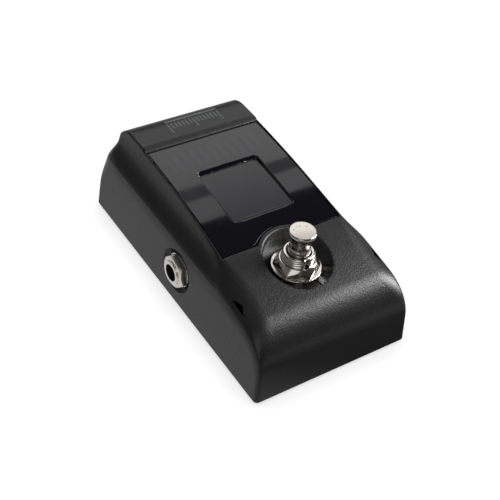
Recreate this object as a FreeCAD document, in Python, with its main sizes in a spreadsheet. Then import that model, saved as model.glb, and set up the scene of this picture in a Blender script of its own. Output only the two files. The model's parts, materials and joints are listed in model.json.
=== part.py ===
"""Compact instrument tuner pedal: a die-cast wedge casing with a display window, a metal footswitch,
an audio jack on each side, power jacks and two small keys at the rear, and a battery lid underneath.

Millimetres. +X is the player's right, +Y points to the rear and +Z is up. The origin lies on the
floor under the middle of the casing. Every piece is drawn from the casing's bottom edge and then
lifted by the height of the rubber feet."""

import FreeCAD, Part
import Sketcher
import math
import os

os.makedirs("parts", exist_ok=True)
doc = FreeCAD.newDocument("tuner_pedal")
Vector = FreeCAD.Vector

# ---------------------------------------------------------------- driving dimensions

DIMENSIONS = {
    # casing outside
    "casing_width": 66.0,
    "casing_length": 117.0,
    "casing_wall": 2.2,
    "side_draft": 2.1,            # degrees
    "front_draft": 7.0,           # degrees
    "rear_draft": 2.6,            # degrees
    "crease_height": 25.3,        # top of the flat side walls
    "knee_width": 54.0,           # where the hollow shoulder turns straight
    "knee_height": 32.5,
    "strip_width": 50.6,          # flat rear strip, ridge to ridge
    "strip_height": 38.1,
    "strip_depth": 21.9,          # rear edge of the casing to the step
    "rear_round": 8.0,
    "front_round": 17.0,
    "deck_radius": 340.0,         # long gentle crown of the deck
    "deck_top_height": 37.5,
    "deck_top_place": 42.0,       # distance of the crown's top behind the middle
    "foot_height": 1.5,
    # display window
    "window_length": 55.0,
    "window_width": 50.6,
    "window_front_width": 52.6,
    "window_thick": 2.4,
    "window_sink": 0.5,
    "window_gap": 0.5,
    "tape_thick": 0.5,
    "ledge_thick": 1.4,
    "ledge_reach": 2.6,
    "note_recess": 27.0,
    "note_recess_depth": 1.3,
    "note_recess_place": 6.2,     # its middle, behind the middle of the casing
    # footswitch
    "switch_place": 29.0,         # its axis, ahead of the middle of the casing
    "pit_radius": 12.6,
    "pit_floor": 25.6,
    "pit_wall": 1.8,
    "switch_floor_thick": 3.0,
    "bushing_radius": 6.0,
    "bushing_top": 33.2,
    "switch_travel": 2.4,
    "cap_radius": 5.1,
    "cap_height": 6.3,
    "plunger_radius": 4.4,
    "running_fit": 0.06,
    "switch_washer_radius": 9.2,
    "switch_nut_flats": 15.0,
    "switch_nut_height": 3.2,
    "switch_body_width": 17.4,
    "switch_body_top": 19.0,
    "switch_body_height": 13.6,
    # audio jacks
    "jack_place": 2.1,            # output's axis, ahead of the middle
    "jack_stagger": 2.2,          # input's axis, behind the output's
    "jack_height": 13.6,
    "jack_bore_radius": 3.25,
    "jack_bush_radius": 4.5,
    "jack_face": 34.8,            # bush's outer face, from the middle
    "jack_nut_flats": 12.0,
    "jack_nut_height": 2.7,
    "jack_sink_radius": 8.5,
    "jack_sink_floor": 31.0,
    "jack_body_outer": 28.2,
    "jack_body_length": 24.6,
    "jack_body_width": 14.6,
    # electronics
    "board_thick": 1.6,
    "rail_height": 2.8,           # the frame between battery tray and board
    "board_width": 52.0,
    "board_to_switch": 17.0,      # board's front edge, behind the footswitch's axis
    "board_rear": 50.0,
    "dc_jack_spread": 22.0,
    "dc_jack_width": 9.4,
    "dc_jack_height": 11.0,
    "dc_nose_radius": 4.2,
    "dc_bore_radius": 3.1,
    "dc_pin_radius": 1.0,
    "key_spread": 40.0,
    "key_rise": 2.8,              # the keys' axis above the board
    "key_radius": 2.1,
    "key_travel": 0.5,
    # underside
    "plate_thick": 1.2,
    "plate_sink": 0.4,
    "plate_gap": 0.3,
    "foot_radius": 5.5,
    "post_radius": 3.4,
    "screw_radius": 1.5,
    "battery_length": 45.5,
    "battery_width": 26.2,
    "battery_thick": 17.2,
    "battery_place": 25.0,        # its middle, behind the middle of the casing
    "lid_length": 54.0,
    "lid_width": 34.0,
    "loose_gap": 0.3,
}


class Size:
    """A size worked out from the sheet: its number now, and the expression that keeps it live."""

    def __init__(self, number, text):
        self.number = float(number)
        self.text = text

    def joined(self, sign, number, other):
        return Size(number, "(%s %s %s)" % (self.text, sign, other.text))

    def __add__(self, other):
        other = as_size(other)
        return self.joined("+", self.number + other.number, other)

    def __sub__(self, other):
        other = as_size(other)
        return self.joined("-", self.number - other.number, other)

    def __mul__(self, other):
        other = as_size(other)
        return self.joined("*", self.number * other.number, other)

    def __truediv__(self, other):
        other = as_size(other)
        return self.joined("/", self.number / other.number, other)

    def __radd__(self, other):
        return as_size(other) + self

    def __rsub__(self, other):
        return as_size(other) - self

    def __rmul__(self, other):
        return as_size(other) * self

    def __neg__(self):
        return as_size(0) - self


def as_size(value):
    if isinstance(value, Size):
        return value
    return Size(value, "(%r)" % float(value))


def tan_of(angle):
    return Size(math.tan(math.radians(angle.number)), "tan(%s * 1 deg)" % angle.text)


def cos_of(angle):
    return Size(math.cos(math.radians(angle.number)), "cos(%s * 1 deg)" % angle.text)


def root_of(value):
    return Size(math.sqrt(value.number), "sqrt(%s)" % value.text)


sheet = doc.addObject("Spreadsheet::Sheet", "Sizes")
sizes = {}
for row, (alias, value) in enumerate(DIMENSIONS.items(), start=1):
    sheet.set("A%d" % row, alias)
    sheet.set("B%d" % row, str(value))
    sheet.setAlias("B%d" % row, alias)
    sizes[alias] = Size(value, "Sizes.%s" % alias)
doc.recompute()


def size(alias):
    return sizes[alias]


# ---------------------------------------------------------------- building tools

TURNS = {
    "z": FreeCAD.Rotation(),
    "x": FreeCAD.Rotation(Vector(0, 1, 0), 90),
    "y": FreeCAD.Rotation(Vector(1, 0, 0), -90),
}
WHOLE_TYPES = ("Part::MultiFuse", "Part::Cut", "Part::MultiCommon", "Part::Compound")
pieces = {}


def bind(thing, prop, value):
    """Ties a property to the sheet."""
    thing.setExpression(prop, as_size(value).text)


def place(thing, x, y, z, turn="z"):
    thing.Placement = FreeCAD.Placement(Vector(0, 0, 0), TURNS[turn])
    bind(thing, "Placement.Base.x", x)
    bind(thing, "Placement.Base.y", y)
    bind(thing, "Placement.Base.z", z)
    return thing


def block(name, across, along, tall, x, y, z):
    """A box centred on x and y, standing on z."""
    thing = doc.addObject("Part::Box", name)
    bind(thing, "Length", across)
    bind(thing, "Width", along)
    bind(thing, "Height", tall)
    return place(thing, x - across / 2, y - along / 2, z)


def rod(name, radius, length, x, y, z, turn="z"):
    """A cylinder that starts at x, y, z and runs along its axis."""
    thing = doc.addObject("Part::Cylinder", name)
    bind(thing, "Radius", radius)
    bind(thing, "Height", length)
    return place(thing, x, y, z, turn)


def cone(name, start_radius, end_radius, length, x, y, z, turn="z"):
    thing = doc.addObject("Part::Cone", name)
    bind(thing, "Radius1", start_radius)
    bind(thing, "Radius2", end_radius)
    bind(thing, "Height", length)
    return place(thing, x, y, z, turn)


def hexagon(name, flats, length, x, y, z, turn="z"):
    thing = doc.addObject("Part::Prism", name)
    thing.Polygon = 6
    bind(thing, "Circumradius", flats / math.sqrt(3))
    bind(thing, "Height", length)
    return place(thing, x, y, z, turn)


def fuse(name, things):
    whole = doc.addObject("Part::MultiFuse", name)
    whole.Shapes = things
    whole.Refine = True
    return whole


def cut(name, base, tools):
    whole = doc.addObject("Part::Cut", name)
    whole.Base = base
    whole.Tool = tools[0] if len(tools) == 1 else fuse(name + "_tools", tools)
    whole.Refine = True
    return whole


def common(name, things):
    whole = doc.addObject("Part::MultiCommon", name)
    whole.Shapes = things
    whole.Refine = True
    return whole


def group(name, things):
    """Separate solids that share one node."""
    whole = doc.addObject("Part::Compound", name)
    whole.Links = things
    return whole


def plane_sketch(body, name, role):
    sketch = body.newObject("Sketcher::SketchObject", name)
    plane = [feature for feature in body.Origin.OriginFeatures if feature.Role == role][0]
    sketch.AttachmentSupport = [(plane, "")]
    sketch.MapMode = "FlatFace"
    return sketch


def pin_point(sketch, shape, end, across, up):
    """Fixes one end of a line or arc by its two distances from the sketch's origin."""
    for kind, value in (("DistanceX", as_size(across)), ("DistanceY", as_size(up))):
        index = sketch.addConstraint(Sketcher.Constraint(kind, -1, 1, shape, end, value.number))
        sketch.setExpression("Constraints[%d]" % index, value.text)


def pin_value(sketch, kind, shape, value):
    index = sketch.addConstraint(Sketcher.Constraint(kind, shape, value.number))
    sketch.setExpression("Constraints[%d]" % index, value.text)


def polygon(body, name, role, corners):
    """A closed outline of straight sides, each corner fixed by two sizes."""
    sketch = plane_sketch(body, name, role)
    points = [Vector(as_size(across).number, as_size(up).number, 0) for across, up in corners]
    for index, point in enumerate(points):
        sketch.addGeometry(Part.LineSegment(point, points[(index + 1) % len(points)]), False)
    for index, (across, up) in enumerate(corners):
        sketch.addConstraint(Sketcher.Constraint("Coincident", index, 2, (index + 1) % len(points), 1))
        pin_point(sketch, index, 1, across, up)
    return sketch


def padded(name, role, corners, depth):
    """A body padded both ways from a straight-sided outline."""
    body = doc.addObject("PartDesign::Body", name)
    pad = body.newObject("PartDesign::Pad", name + "_pad")
    pad.Profile = polygon(body, name + "_outline", role, corners)
    pad.SideType = "Symmetric"
    bind(pad, "Length", depth)
    return body


def turned(name, corners):
    """A body turned about the vertical axis from half its section."""
    body = doc.addObject("PartDesign::Body", name)
    sketch = polygon(body, name + "_section", "XZ_Plane", corners)
    revolution = body.newObject("PartDesign::Revolution", name + "_turned")
    revolution.Profile = sketch
    revolution.ReferenceAxis = (sketch, ["V_Axis"])
    revolution.Angle = 360.0
    return body


def keep(thing, label):
    """Names a finished sub-part, and stands it on the feet."""
    thing.Label = label
    place_up = size("foot_height")
    if thing.isDerivedFrom("PartDesign::Body") or thing.TypeId in WHOLE_TYPES:
        place(thing, 0, 0, place_up)
    pieces[label] = thing
    return thing


def keep_single(thing, label):
    """Names a sub-part that is one primitive, so that it too is lifted with the others."""
    return keep(group(label + "_whole", [thing]), label)


# ---------------------------------------------------------------- shared places

half_width = size("casing_width") / 2
half_length = size("casing_length") / 2
wall = size("casing_wall")
switch_y = -size("switch_place")
jack_y = {-1: -size("jack_place"), 1: size("jack_stagger") - size("jack_place")}
jack_z = size("jack_height")
step_y = half_length - size("strip_depth")
window_rear = step_y - size("window_gap")
window_front = window_rear - size("window_length")
plate_low = size("plate_sink")
plate_high = plate_low + size("plate_thick")
tray_thick = as_size(1.2)
battery_low = plate_high + 0.9
tray_top = battery_low + size("battery_thick") + 0.5 + tray_thick
board_low = tray_top + size("rail_height")
board_top = board_low + size("board_thick")
board_front = switch_y + size("board_to_switch")
key_z = board_top + size("key_rise")
pit_underside = size("pit_floor") - size("switch_floor_thick")
deck_middle_z = size("deck_top_height") - size("deck_radius")
THROUGH = 60.0     # longer than any wall is thick
SKIN = 0.01        # how far a tool stands past the face it cuts


def side_at(height):
    """Half the casing's width at a height on its flat side walls."""
    return half_width - height * tan_of(size("side_draft"))


def rear_at(height):
    return half_length - height * tan_of(size("rear_draft"))


def deck_at(place_y, drop=0):
    """Height of the deck's crown, less drop, at a place along the casing."""
    radius = size("deck_radius") - drop
    offset = place_y - size("deck_top_place")
    return deck_middle_z + root_of(radius * radius - offset * offset)


def deck_drum(name, drop):
    """The big drum whose skin is the deck, sunk by drop."""
    width = size("casing_width") + 20
    return rod(name, size("deck_radius") - drop, width, -width / 2, size("deck_top_place"), deck_middle_z, "x")


# ---------------------------------------------------------------- casing

SHOULDER_BOW = 0.68    # how deep the hollow of each shoulder is
WINDOW_RIM = 1.3       # width of the ridge left beside the window
chord_across = side_at(size("crease_height")) - size("knee_width") / 2
chord_up = size("knee_height") - size("crease_height")
chord_squared = chord_across * chord_across + chord_up * chord_up
SHOULDER_RADIUS = chord_squared / (8 * SHOULDER_BOW) + SHOULDER_BOW / 2


def casing_section(name, inset):
    """The section across the casing: drafted walls, hollow shoulders and a straight ridge."""
    body = doc.addObject("PartDesign::Body", name)
    sketch = plane_sketch(body, name + "_outline", "XZ_Plane")
    foot_x = half_width - inset
    crease_x = side_at(size("crease_height")) - inset
    crease_z = size("crease_height") - inset * 0.45
    knee_x = size("knee_width") / 2 - inset * 0.97
    knee_z = size("knee_height") - inset * 0.26
    ridge_rise = size("strip_height") - size("knee_height") + 4
    ridge_lean = (size("knee_width") - size("strip_width")) / 2 / (size("strip_height") - size("knee_height"))
    top_x = knee_x - ridge_rise * ridge_lean
    top_z = knee_z + ridge_rise
    right = [(foot_x, as_size(0)), (crease_x, crease_z), (knee_x, knee_z), (top_x, top_z)]
    corners = right + [(-across, up) for across, up in reversed(right)]
    points = [Vector(across.number, up.number, 0) for across, up in corners]
    bowed = (1, 5) if inset == 0 else ()
    for index, point in enumerate(points):
        after = points[(index + 1) % len(points)]
        if index in bowed:
            middle = (point + after) / 2
            bow = SHOULDER_BOW / after.sub(point).Length
            outward = Vector(after.y - point.y, point.x - after.x, 0)
            sketch.addGeometry(Part.Arc(point, middle - outward * bow, after), False)
        else:
            sketch.addGeometry(Part.LineSegment(point, after), False)
    for index, (across, up) in enumerate(corners):
        # an arc runs counter-clockwise, so a hollow one is joined by its far ends
        end = 1 if index in bowed else 2
        start = 2 if (index + 1) % len(points) in bowed else 1
        sketch.addConstraint(Sketcher.Constraint("Coincident", index, end, (index + 1) % len(points), start))
        pin_point(sketch, index, 2 if index in bowed else 1, across, up)
    for index in bowed:
        arc_radius = Size(sketch.Geometry[index].Radius, SHOULDER_RADIUS.text)
        pin_value(sketch, "Radius", index, arc_radius)
    pad = body.newObject("PartDesign::Pad", name + "_pad")
    pad.Profile = sketch
    pad.SideType = "Symmetric"
    bind(pad, "Length", size("casing_length") + 10)
    return body


def front_tangents(inset):
    """Where the front round meets the front face and the deck, and its centre."""
    draft = math.radians(size("front_draft").number)
    radius = size("front_round").number - inset
    deck = size("deck_radius").number - inset
    deck_centre = Vector(size("deck_top_place").number, deck_middle_z.number, 0)
    foot = Vector(-half_length.number + inset / math.cos(draft), 0, 0)
    up_face = Vector(math.sin(draft), math.cos(draft), 0)
    inward = Vector(math.cos(draft), -math.sin(draft), 0)
    start = foot + inward * radius - deck_centre
    along = start.dot(up_face)
    rise = -along + math.sqrt(along * along - start.dot(start) + (deck - radius) ** 2)
    centre = deck_centre + start + up_face * rise
    on_face = centre - inward * radius
    on_deck = centre + (centre - deck_centre).normalize() * radius
    return foot, on_face, on_deck, centre


def arc_between(start, end, centre):
    """A minor arc round centre, through the point halfway between start and end."""
    radius = start.sub(centre).Length
    halfway = centre + ((start + end) / 2 - centre).normalize() * radius
    return Part.Arc(start, halfway, end)


def casing_profile(name, inset):
    """The side view: drafted front and rear, big front round, crowned deck and flat rear strip."""
    body = doc.addObject("PartDesign::Body", name)
    sketch = plane_sketch(body, name + "_outline", "YZ_Plane")
    foot, on_face, on_deck, round_centre = front_tangents(as_size(inset).number)
    deck = size("deck_radius") - inset
    strip_z = size("strip_height") - inset
    rear_foot = half_length - inset
    step = step_y + inset
    rear_draft = math.radians(size("rear_draft").number)
    radius = size("rear_round").number - as_size(inset).number
    rear_x = rear_foot.number - strip_z.number * math.tan(rear_draft)
    reach = radius * math.tan((math.pi / 2 - rear_draft) / 2)
    strip_end = Vector(rear_x - reach, strip_z.number, 0)
    rear_end = Vector(rear_x + reach * math.sin(rear_draft), strip_z.number - reach * math.cos(rear_draft), 0)
    rear_centre = Vector(strip_end.x, strip_z.number - radius, 0)
    step_low = Vector(step.number, deck_at(step, inset).number, 0)
    step_high = Vector(step.number, strip_z.number, 0)
    deck_centre = Vector(size("deck_top_place").number, deck_middle_z.number, 0)
    shapes = [
        Part.LineSegment(foot, on_face),
        arc_between(on_face, on_deck, round_centre),
        arc_between(on_deck, step_low, deck_centre),
        Part.LineSegment(step_low, step_high),
        Part.LineSegment(step_high, strip_end),
        arc_between(strip_end, rear_end, rear_centre),
        Part.LineSegment(rear_end, Vector(rear_foot.number, 0, 0)),
        Part.LineSegment(Vector(rear_foot.number, 0, 0), foot),
    ]
    for shape in shapes:
        sketch.addGeometry(shape, False)
    # arcs run counter-clockwise, so each one's first end is its rearmost
    first_end = [1, 2, 2, 1, 1, 2, 1, 1]
    last_end = [2, 1, 1, 2, 2, 1, 2, 2]
    smooth_after = (0, 1, 4, 5)
    for index in range(len(shapes)):
        after = (index + 1) % len(shapes)
        kind = "Tangent" if index in smooth_after else "Coincident"
        sketch.addConstraint(Sketcher.Constraint(kind, index, last_end[index], after, first_end[after]))
    pin_point(sketch, 0, 1, -half_length + as_size(inset) / cos_of(size("front_draft")), 0)
    pin_point(sketch, 7, 1, rear_foot, 0)
    pin_point(sketch, 3, 2, step, strip_z)
    sketch.addConstraint(Sketcher.Constraint("Vertical", 3))
    sketch.addConstraint(Sketcher.Constraint("Horizontal", 4))
    pin_point(sketch, 2, 3, size("deck_top_place"), deck_middle_z)
    pin_value(sketch, "Radius", 1, size("front_round") - inset)
    pin_value(sketch, "Radius", 2, deck)
    pin_value(sketch, "Radius", 5, size("rear_round") - inset)
    front_lean = math.radians(90 - size("front_draft").number)
    front_angle = sketch.addConstraint(Sketcher.Constraint("Angle", 0, front_lean))
    sketch.setExpression("Constraints[%d]" % front_angle, "(90 - Sizes.front_draft) * 1 deg")
    rear_angle = sketch.addConstraint(Sketcher.Constraint("Angle", 6, rear_draft - math.pi / 2))
    sketch.setExpression("Constraints[%d]" % rear_angle, "(Sizes.rear_draft - 90) * 1 deg")
    pad = body.newObject("PartDesign::Pad", name + "_pad")
    pad.Profile = sketch
    pad.SideType = "Symmetric"
    bind(pad, "Length", size("casing_width") + 10)
    return body


def window_plan(name, grow, tall=80.0):
    """The window's outline from above, wider towards the front, grown by a margin."""
    rear = window_rear + grow
    front = window_front - grow
    rear_half = size("window_width") / 2 - WINDOW_RIM + grow
    front_half = size("window_front_width") / 2 - WINDOW_RIM + grow
    corners = [(rear_half, rear), (-rear_half, rear), (-front_half, front), (front_half, front)]
    return padded(name, "XY_Plane", corners, tall)


def collar_gap(name, grow):
    """The round notch in the window that clears the footswitch pit's collar."""
    radius = size("pit_radius") + size("pit_wall") + grow
    return rod(name, radius, THROUGH, as_size(0), switch_y, as_size(0))


def casing_outside():
    return common("casing_outside", [casing_section("outer_section", 0), casing_profile("outer_profile", 0)])


def casing_hollow():
    hollow_form = common("hollow_form", [casing_section("inner_section", wall),
                                         casing_profile("inner_profile", wall)])
    sill = block("hollow_sill", size("casing_width") - 2 * wall, size("casing_length") - 2 * wall - 0.4,
                 as_size(1), as_size(0), as_size(0), as_size(-1 + SKIN))
    return fuse("casing_hollow", [hollow_form, sill])


def window_seat():
    """A shelf under the window, inside the casing, that the window's tape sticks to."""
    depth = size("window_sink") + size("window_thick") + size("tape_thick")
    below = deck_drum("shelf_bottom", depth + size("ledge_thick"))
    shelf = cut("shelf_slab", deck_drum("shelf_top", depth), [below])
    outline = window_plan("shelf_outline", 2.2)
    inner_space = casing_section("shelf_space", wall - 0.6)
    return common("window_shelf", [shelf, outline, inner_space])


def base_posts():
    """Posts that the base plate's screws go into."""
    posts = []
    for index, (x, y) in enumerate(post_places()):
        name = "post_%d" % index
        posts.append(rod(name, size("post_radius"), 18 - plate_high, x, y, plate_high))
    return posts


def post_places():
    side = half_width - wall - 3.2
    rear = half_length - wall - 3.4
    front = half_length - wall - 4.4
    middle = jack_y[-1] - 13.4
    return [(-side, -front), (side, -front), (-side, middle), (side, middle), (-side, rear), (side, rear)]


def upper_casing():
    """One casting: hollow wedge with pit, window seat, jack seats and screw posts."""
    shell = cut("casing_shell", casing_outside(), [casing_hollow()])
    pit_column = rod("pit_column", size("pit_radius") + size("pit_wall"), size("strip_height") - pit_underside,
                     as_size(0), switch_y, pit_underside)
    collar = common("pit_collar", [pit_column, deck_drum("collar_top", 0), casing_profile("collar_front", 1),
                                   casing_section("collar_sides", 1)])
    inner_form = common("post_space", [casing_section("post_section", 0.8), casing_profile("post_profile", 0.8)])
    posts = common("casing_posts", [fuse("post_rods", base_posts()), inner_form])
    seats = []
    for side_name, side in SIDES:
        seat_inner = size("jack_body_outer")
        seats.append(side_rod("jack_seat_" + side_name, size("jack_sink_radius") + 1.2, seat_inner,
                              half_width - 2, side, jack_y[side], jack_z))
    seat_space = common("jack_seats", [fuse("jack_seat_rods", seats), casing_section("seat_section", 0.5)])
    solid = fuse("casing_solid", [shell, collar, posts, seat_space, window_seat()])

    window_hole = window_plan("window_hole", -size("ledge_reach"))
    window_hole_clear = cut("window_hole_clear", window_hole, [collar_gap("hole_collar", size("ledge_reach"))])
    seat_depth = size("window_sink") + size("window_thick") + size("tape_thick")
    above_seat = cut("above_seat", window_plan("seat_outline", size("window_gap")),
                     [deck_drum("seat_floor", seat_depth), collar_gap("seat_collar", 0)])
    tools = [window_hole_clear, above_seat,
             rod("pit_bore", size("pit_radius"), as_size(20), as_size(0), switch_y, size("pit_floor")),
             rod("switch_hole", size("bushing_radius") + 0.2, as_size(20), as_size(0), switch_y,
                 pit_underside - 5)]
    for side_name, side in SIDES:
        tools.append(side_rod("jack_sink_" + side_name, size("jack_sink_radius"), size("jack_sink_floor"),
                              half_width + 5, side, jack_y[side], jack_z))
        tools.append(side_rod("jack_hole_" + side_name, size("jack_bush_radius") + 0.15,
                              size("jack_body_outer") - 2, half_width, side, jack_y[side], jack_z))
    for x, side_name in DC_JACKS:
        tools.append(rod("dc_hole_" + side_name, size("dc_nose_radius") + 0.15, as_size(20), x,
                         half_length - 10, dc_z, "y"))
    for x, side_name in KEYS:
        tools.append(rod("key_hole_" + side_name, size("key_radius") + size("loose_gap"), as_size(20), x,
                         half_length - 10, key_z, "y"))
    for index, (x, y) in enumerate(post_places()):
        tools.append(rod("post_hole_%d" % index, size("screw_radius"), as_size(10), x, y, plate_high - SKIN))
    return keep(cut("casing_casting", solid, tools), "upper_casing")


def side_rod(name, radius, inner, outer, side, y, z):
    """A cylinder along X from inner to outer on one side of the casing."""
    start = inner if side > 0 else -as_size(outer)
    return rod(name, radius, outer - inner, start, y, z, "x")


SIDES = (("output", -1), ("input", 1))
DC_JACKS = ((-size("dc_jack_spread") / 2, "out"), (size("dc_jack_spread") / 2, "in"))
KEYS = ((-size("key_spread") / 2, "display"), (size("key_spread") / 2, "calibration"))
dc_z = board_low - 6.0

# ---------------------------------------------------------------- display


NOTE_FRONT_DEPTH = 0.4     # the square panel is shallow at its front edge


def display_window():
    """Crowned smoked window, notched round the footswitch collar, with a square sunk panel."""
    top = size("window_sink")
    under = deck_drum("window_under", top + size("window_thick"))
    slab = cut("window_slab", deck_drum("window_top", top), [under])
    sheet_shape = common("window_sheet", [slab, window_plan("window_outline", 0)])
    rear_y = size("note_recess_place") + size("note_recess") / 2
    front_y = size("note_recess_place") - size("note_recess") / 2
    floor_rear = deck_at(rear_y, top) - size("note_recess_depth")
    floor_front = deck_at(front_y, top) - NOTE_FRONT_DEPTH
    corners = [(front_y, floor_front), (rear_y, floor_rear), (rear_y, floor_rear + 6), (front_y, floor_front + 6)]
    recess = padded("note_recess_cut", "YZ_Plane", corners, size("note_recess"))
    window = cut("window_cut", sheet_shape, [recess, collar_gap("window_notch", size("window_gap"))])
    return keep(window, "display_window")


def window_tape():
    """Thin foam tape between the window and its shelf."""
    top = size("window_sink") + size("window_thick")
    slab = cut("tape_slab", deck_drum("tape_top", top), [deck_drum("tape_under", top + size("tape_thick"))])
    outline = common("tape_outline", [slab, window_plan("tape_plan", 0)])
    ring = cut("tape_ring", outline, [window_plan("tape_inside", -size("ledge_reach")),
                                      collar_gap("tape_notch", size("window_gap"))])
    return keep(ring, "window_tape")


METER_SLOTS = 11
METER_PITCH = 3.8


def meter_places():
    return [(index - (METER_SLOTS - 1) / 2) * METER_PITCH for index in range(METER_SLOTS)]


def level_meter():
    """A slotted light mask with a lamp under each slot and a diffuser on top."""
    mask_y = size("note_recess_place") + size("note_recess") / 2 + 7.6
    mask_low = board_top + 0.1
    mask_tall = as_size(5.0)
    mask_width = as_size(METER_SLOTS * METER_PITCH + 2)
    mask_depth = as_size(9)
    mask = block("mask_block", mask_width, mask_depth, mask_tall, as_size(0), mask_y, mask_low)
    slots = []
    lamps = []
    for index, x in enumerate(meter_places()):
        slots.append(block("mask_slot_%d" % index, as_size(2.2), as_size(6.6), mask_tall + 1, as_size(x), mask_y,
                           mask_low - 0.5))
        lamps.append(block("lamp_%d" % index, as_size(0.9), as_size(1.7), as_size(0.8), as_size(x), mask_y,
                           board_top))
    keep(cut("mask_slotted", mask, slots), "meter_light_mask")
    keep(group("meter_lamp_group", lamps), "meter_lamps")
    diffuser = block("diffuser_plate", mask_width, mask_depth, as_size(0.6), as_size(0), mask_y,
                     mask_low + mask_tall)
    keep_single(diffuser, "meter_diffuser")


def note_display():
    """The note readout under the square panel: a box with bar-shaped light wells."""
    width = as_size(22.0)
    tall = as_size(3.6)
    y = size("note_recess_place") + 0.5
    low = board_top
    case = block("note_case", width, width, tall, as_size(0), y, low)
    wells = []
    bars = []
    for index, (x, offset, across, along) in enumerate(note_bars()):
        bar_low = low + tall - 1.0
        wells.append(block("note_well_%d" % index, as_size(across + 0.1), as_size(along + 0.1), as_size(2),
                           as_size(x), y + offset, bar_low))
        bars.append(block("note_bar_%d" % index, as_size(across), as_size(along), as_size(0.9), as_size(x),
                          y + offset, bar_low + 0.05))
    keep(cut("note_case_cut", case, wells), "note_display")
    keep(group("note_bar_group", bars), "note_display_bars")


def note_bars():
    """Seven plain bars and a dot: place across, place along, width and length of each."""
    reach = 4.6
    rise = 3.9
    thin = 1.5
    flat_bars = [(0.0, offset, 7.4, thin) for offset in (-2 * rise, 0.0, 2 * rise)]
    tall_bars = [(x, offset, thin, 6.0) for x in (-reach, reach) for offset in (-rise, rise)]
    return flat_bars + tall_bars + [(8.6, -7.8, thin, thin)]


# ---------------------------------------------------------------- circuit board


def main_board():
    length = size("board_rear") - board_front
    middle = (size("board_rear") + board_front) / 2
    board = block("board_blank", size("board_width"), length, size("board_thick"), as_size(0), middle, board_low)
    holes = []
    screws = []
    for index, (x, y) in enumerate(board_screw_places()):
        holes.append(rod("board_hole_%d" % index, as_size(1.2), as_size(4), x, y, board_low - 1))
        shank = rod("board_shank_%d" % index, as_size(1.0), as_size(4.0), x, y, board_low - 2.4)
        head = rod("board_head_%d" % index, as_size(2.0), as_size(1.3), x, y, board_top)
        socket = hexagon("board_socket_%d" % index, as_size(1.5), as_size(1), x, y, board_top + 0.7)
        screws.append(cut("board_screw_%d" % index, fuse("board_bolt_%d" % index, [shank, head]), [socket]))
    keep(cut("board_drilled", board, holes), "main_board")
    keep(group("board_screw_group", screws), "board_screws")


def board_screw_places():
    side = size("board_width") / 2 - 2.6
    return [(-side, board_front + 2.6), (side, board_front + 2.6),
            (-side, size("board_rear") - 12.5), (side, size("board_rear") - 12.5)]


def board_frame():
    """A moulded frame that stands on the battery tray and carries the board."""
    side = size("board_width") / 2 - 2.6
    tall = board_low - tray_top
    rails = []
    for name, sign in (("left", -1), ("right", 1)):
        front = board_front + 0.2
        rear = size("board_rear") - 10.0
        rails.append(block("rail_" + name, as_size(4.8), rear - front, tall, sign * side, (front + rear) / 2,
                           tray_top))
    cross = block("rail_cross", 2 * side, as_size(3.0), tall, as_size(0), size("board_rear") - 11.5, tray_top)
    drills = []
    for index, (x, y) in enumerate(board_screw_places()):
        drills.append(rod("rail_drill_%d" % index, as_size(1.0), tall, x, y, tray_top + 0.3))
    keep(cut("board_frame_cut", fuse("board_frame_bars", rails + [cross]), drills), "board_frame")


# name, width, length, place across and place along
CHIPS = (("processor", 10, 10, -6, 22), ("driver", 5, 6.4, 10, 17), ("amplifier", 4, 5, 12, 9))


def board_chips():
    """The processor and two smaller packages on the board's underside."""
    chips = []
    for name, width, length, x, y in CHIPS:
        chips.append(block("chip_" + name, as_size(width), as_size(length), as_size(1.4), as_size(x), as_size(y),
                           board_low - 1.4))
    keep(group("chip_group", chips), "board_chips")


def board_capacitors():
    """Small can capacitors that stand on the board beside the rear keys."""
    cans = []
    for index, x in enumerate((-7.0, 0.0, 7.0)):
        cans.append(rod("can_%d" % index, as_size(2.4), as_size(5.4), as_size(x), size("board_rear") - 5,
                        board_top))
    keep(group("can_group", cans), "board_capacitors")


def dc_jacks():
    """Two barrel power jacks under the board's rear edge, with noses that fill the rear holes."""
    nose_end = rear_at(dc_z) - 0.2
    inner_face = rear_at(dc_z) - wall - 0.6
    depth = as_size(13.0)
    for x, side_name in DC_JACKS:
        case = block("dc_case_" + side_name, size("dc_jack_width"), depth, size("dc_jack_height"), x,
                     inner_face - depth / 2, board_low - size("dc_jack_height"))
        nose = rod("dc_nose_" + side_name, size("dc_nose_radius"), nose_end - inner_face + 1, x, inner_face - 1,
                   dc_z, "y")
        bore = rod("dc_bore_" + side_name, size("dc_bore_radius"), as_size(30), x, nose_end - 9.5, dc_z, "y")
        pin_seat = rod("dc_pin_seat_" + side_name, size("dc_pin_radius"), as_size(3), x, nose_end - 12, dc_z, "y")
        body = cut("dc_body_" + side_name, fuse("dc_form_" + side_name, [case, nose]), [bore, pin_seat])
        keep(body, "dc_%s_jack" % side_name)
        pin_part = rod("dc_pin_rod_" + side_name, size("dc_pin_radius"), as_size(10.5), x, nose_end - 12, dc_z,
                       "y")
        keep_single(pin_part, "dc_%s_pin" % side_name)


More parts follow.
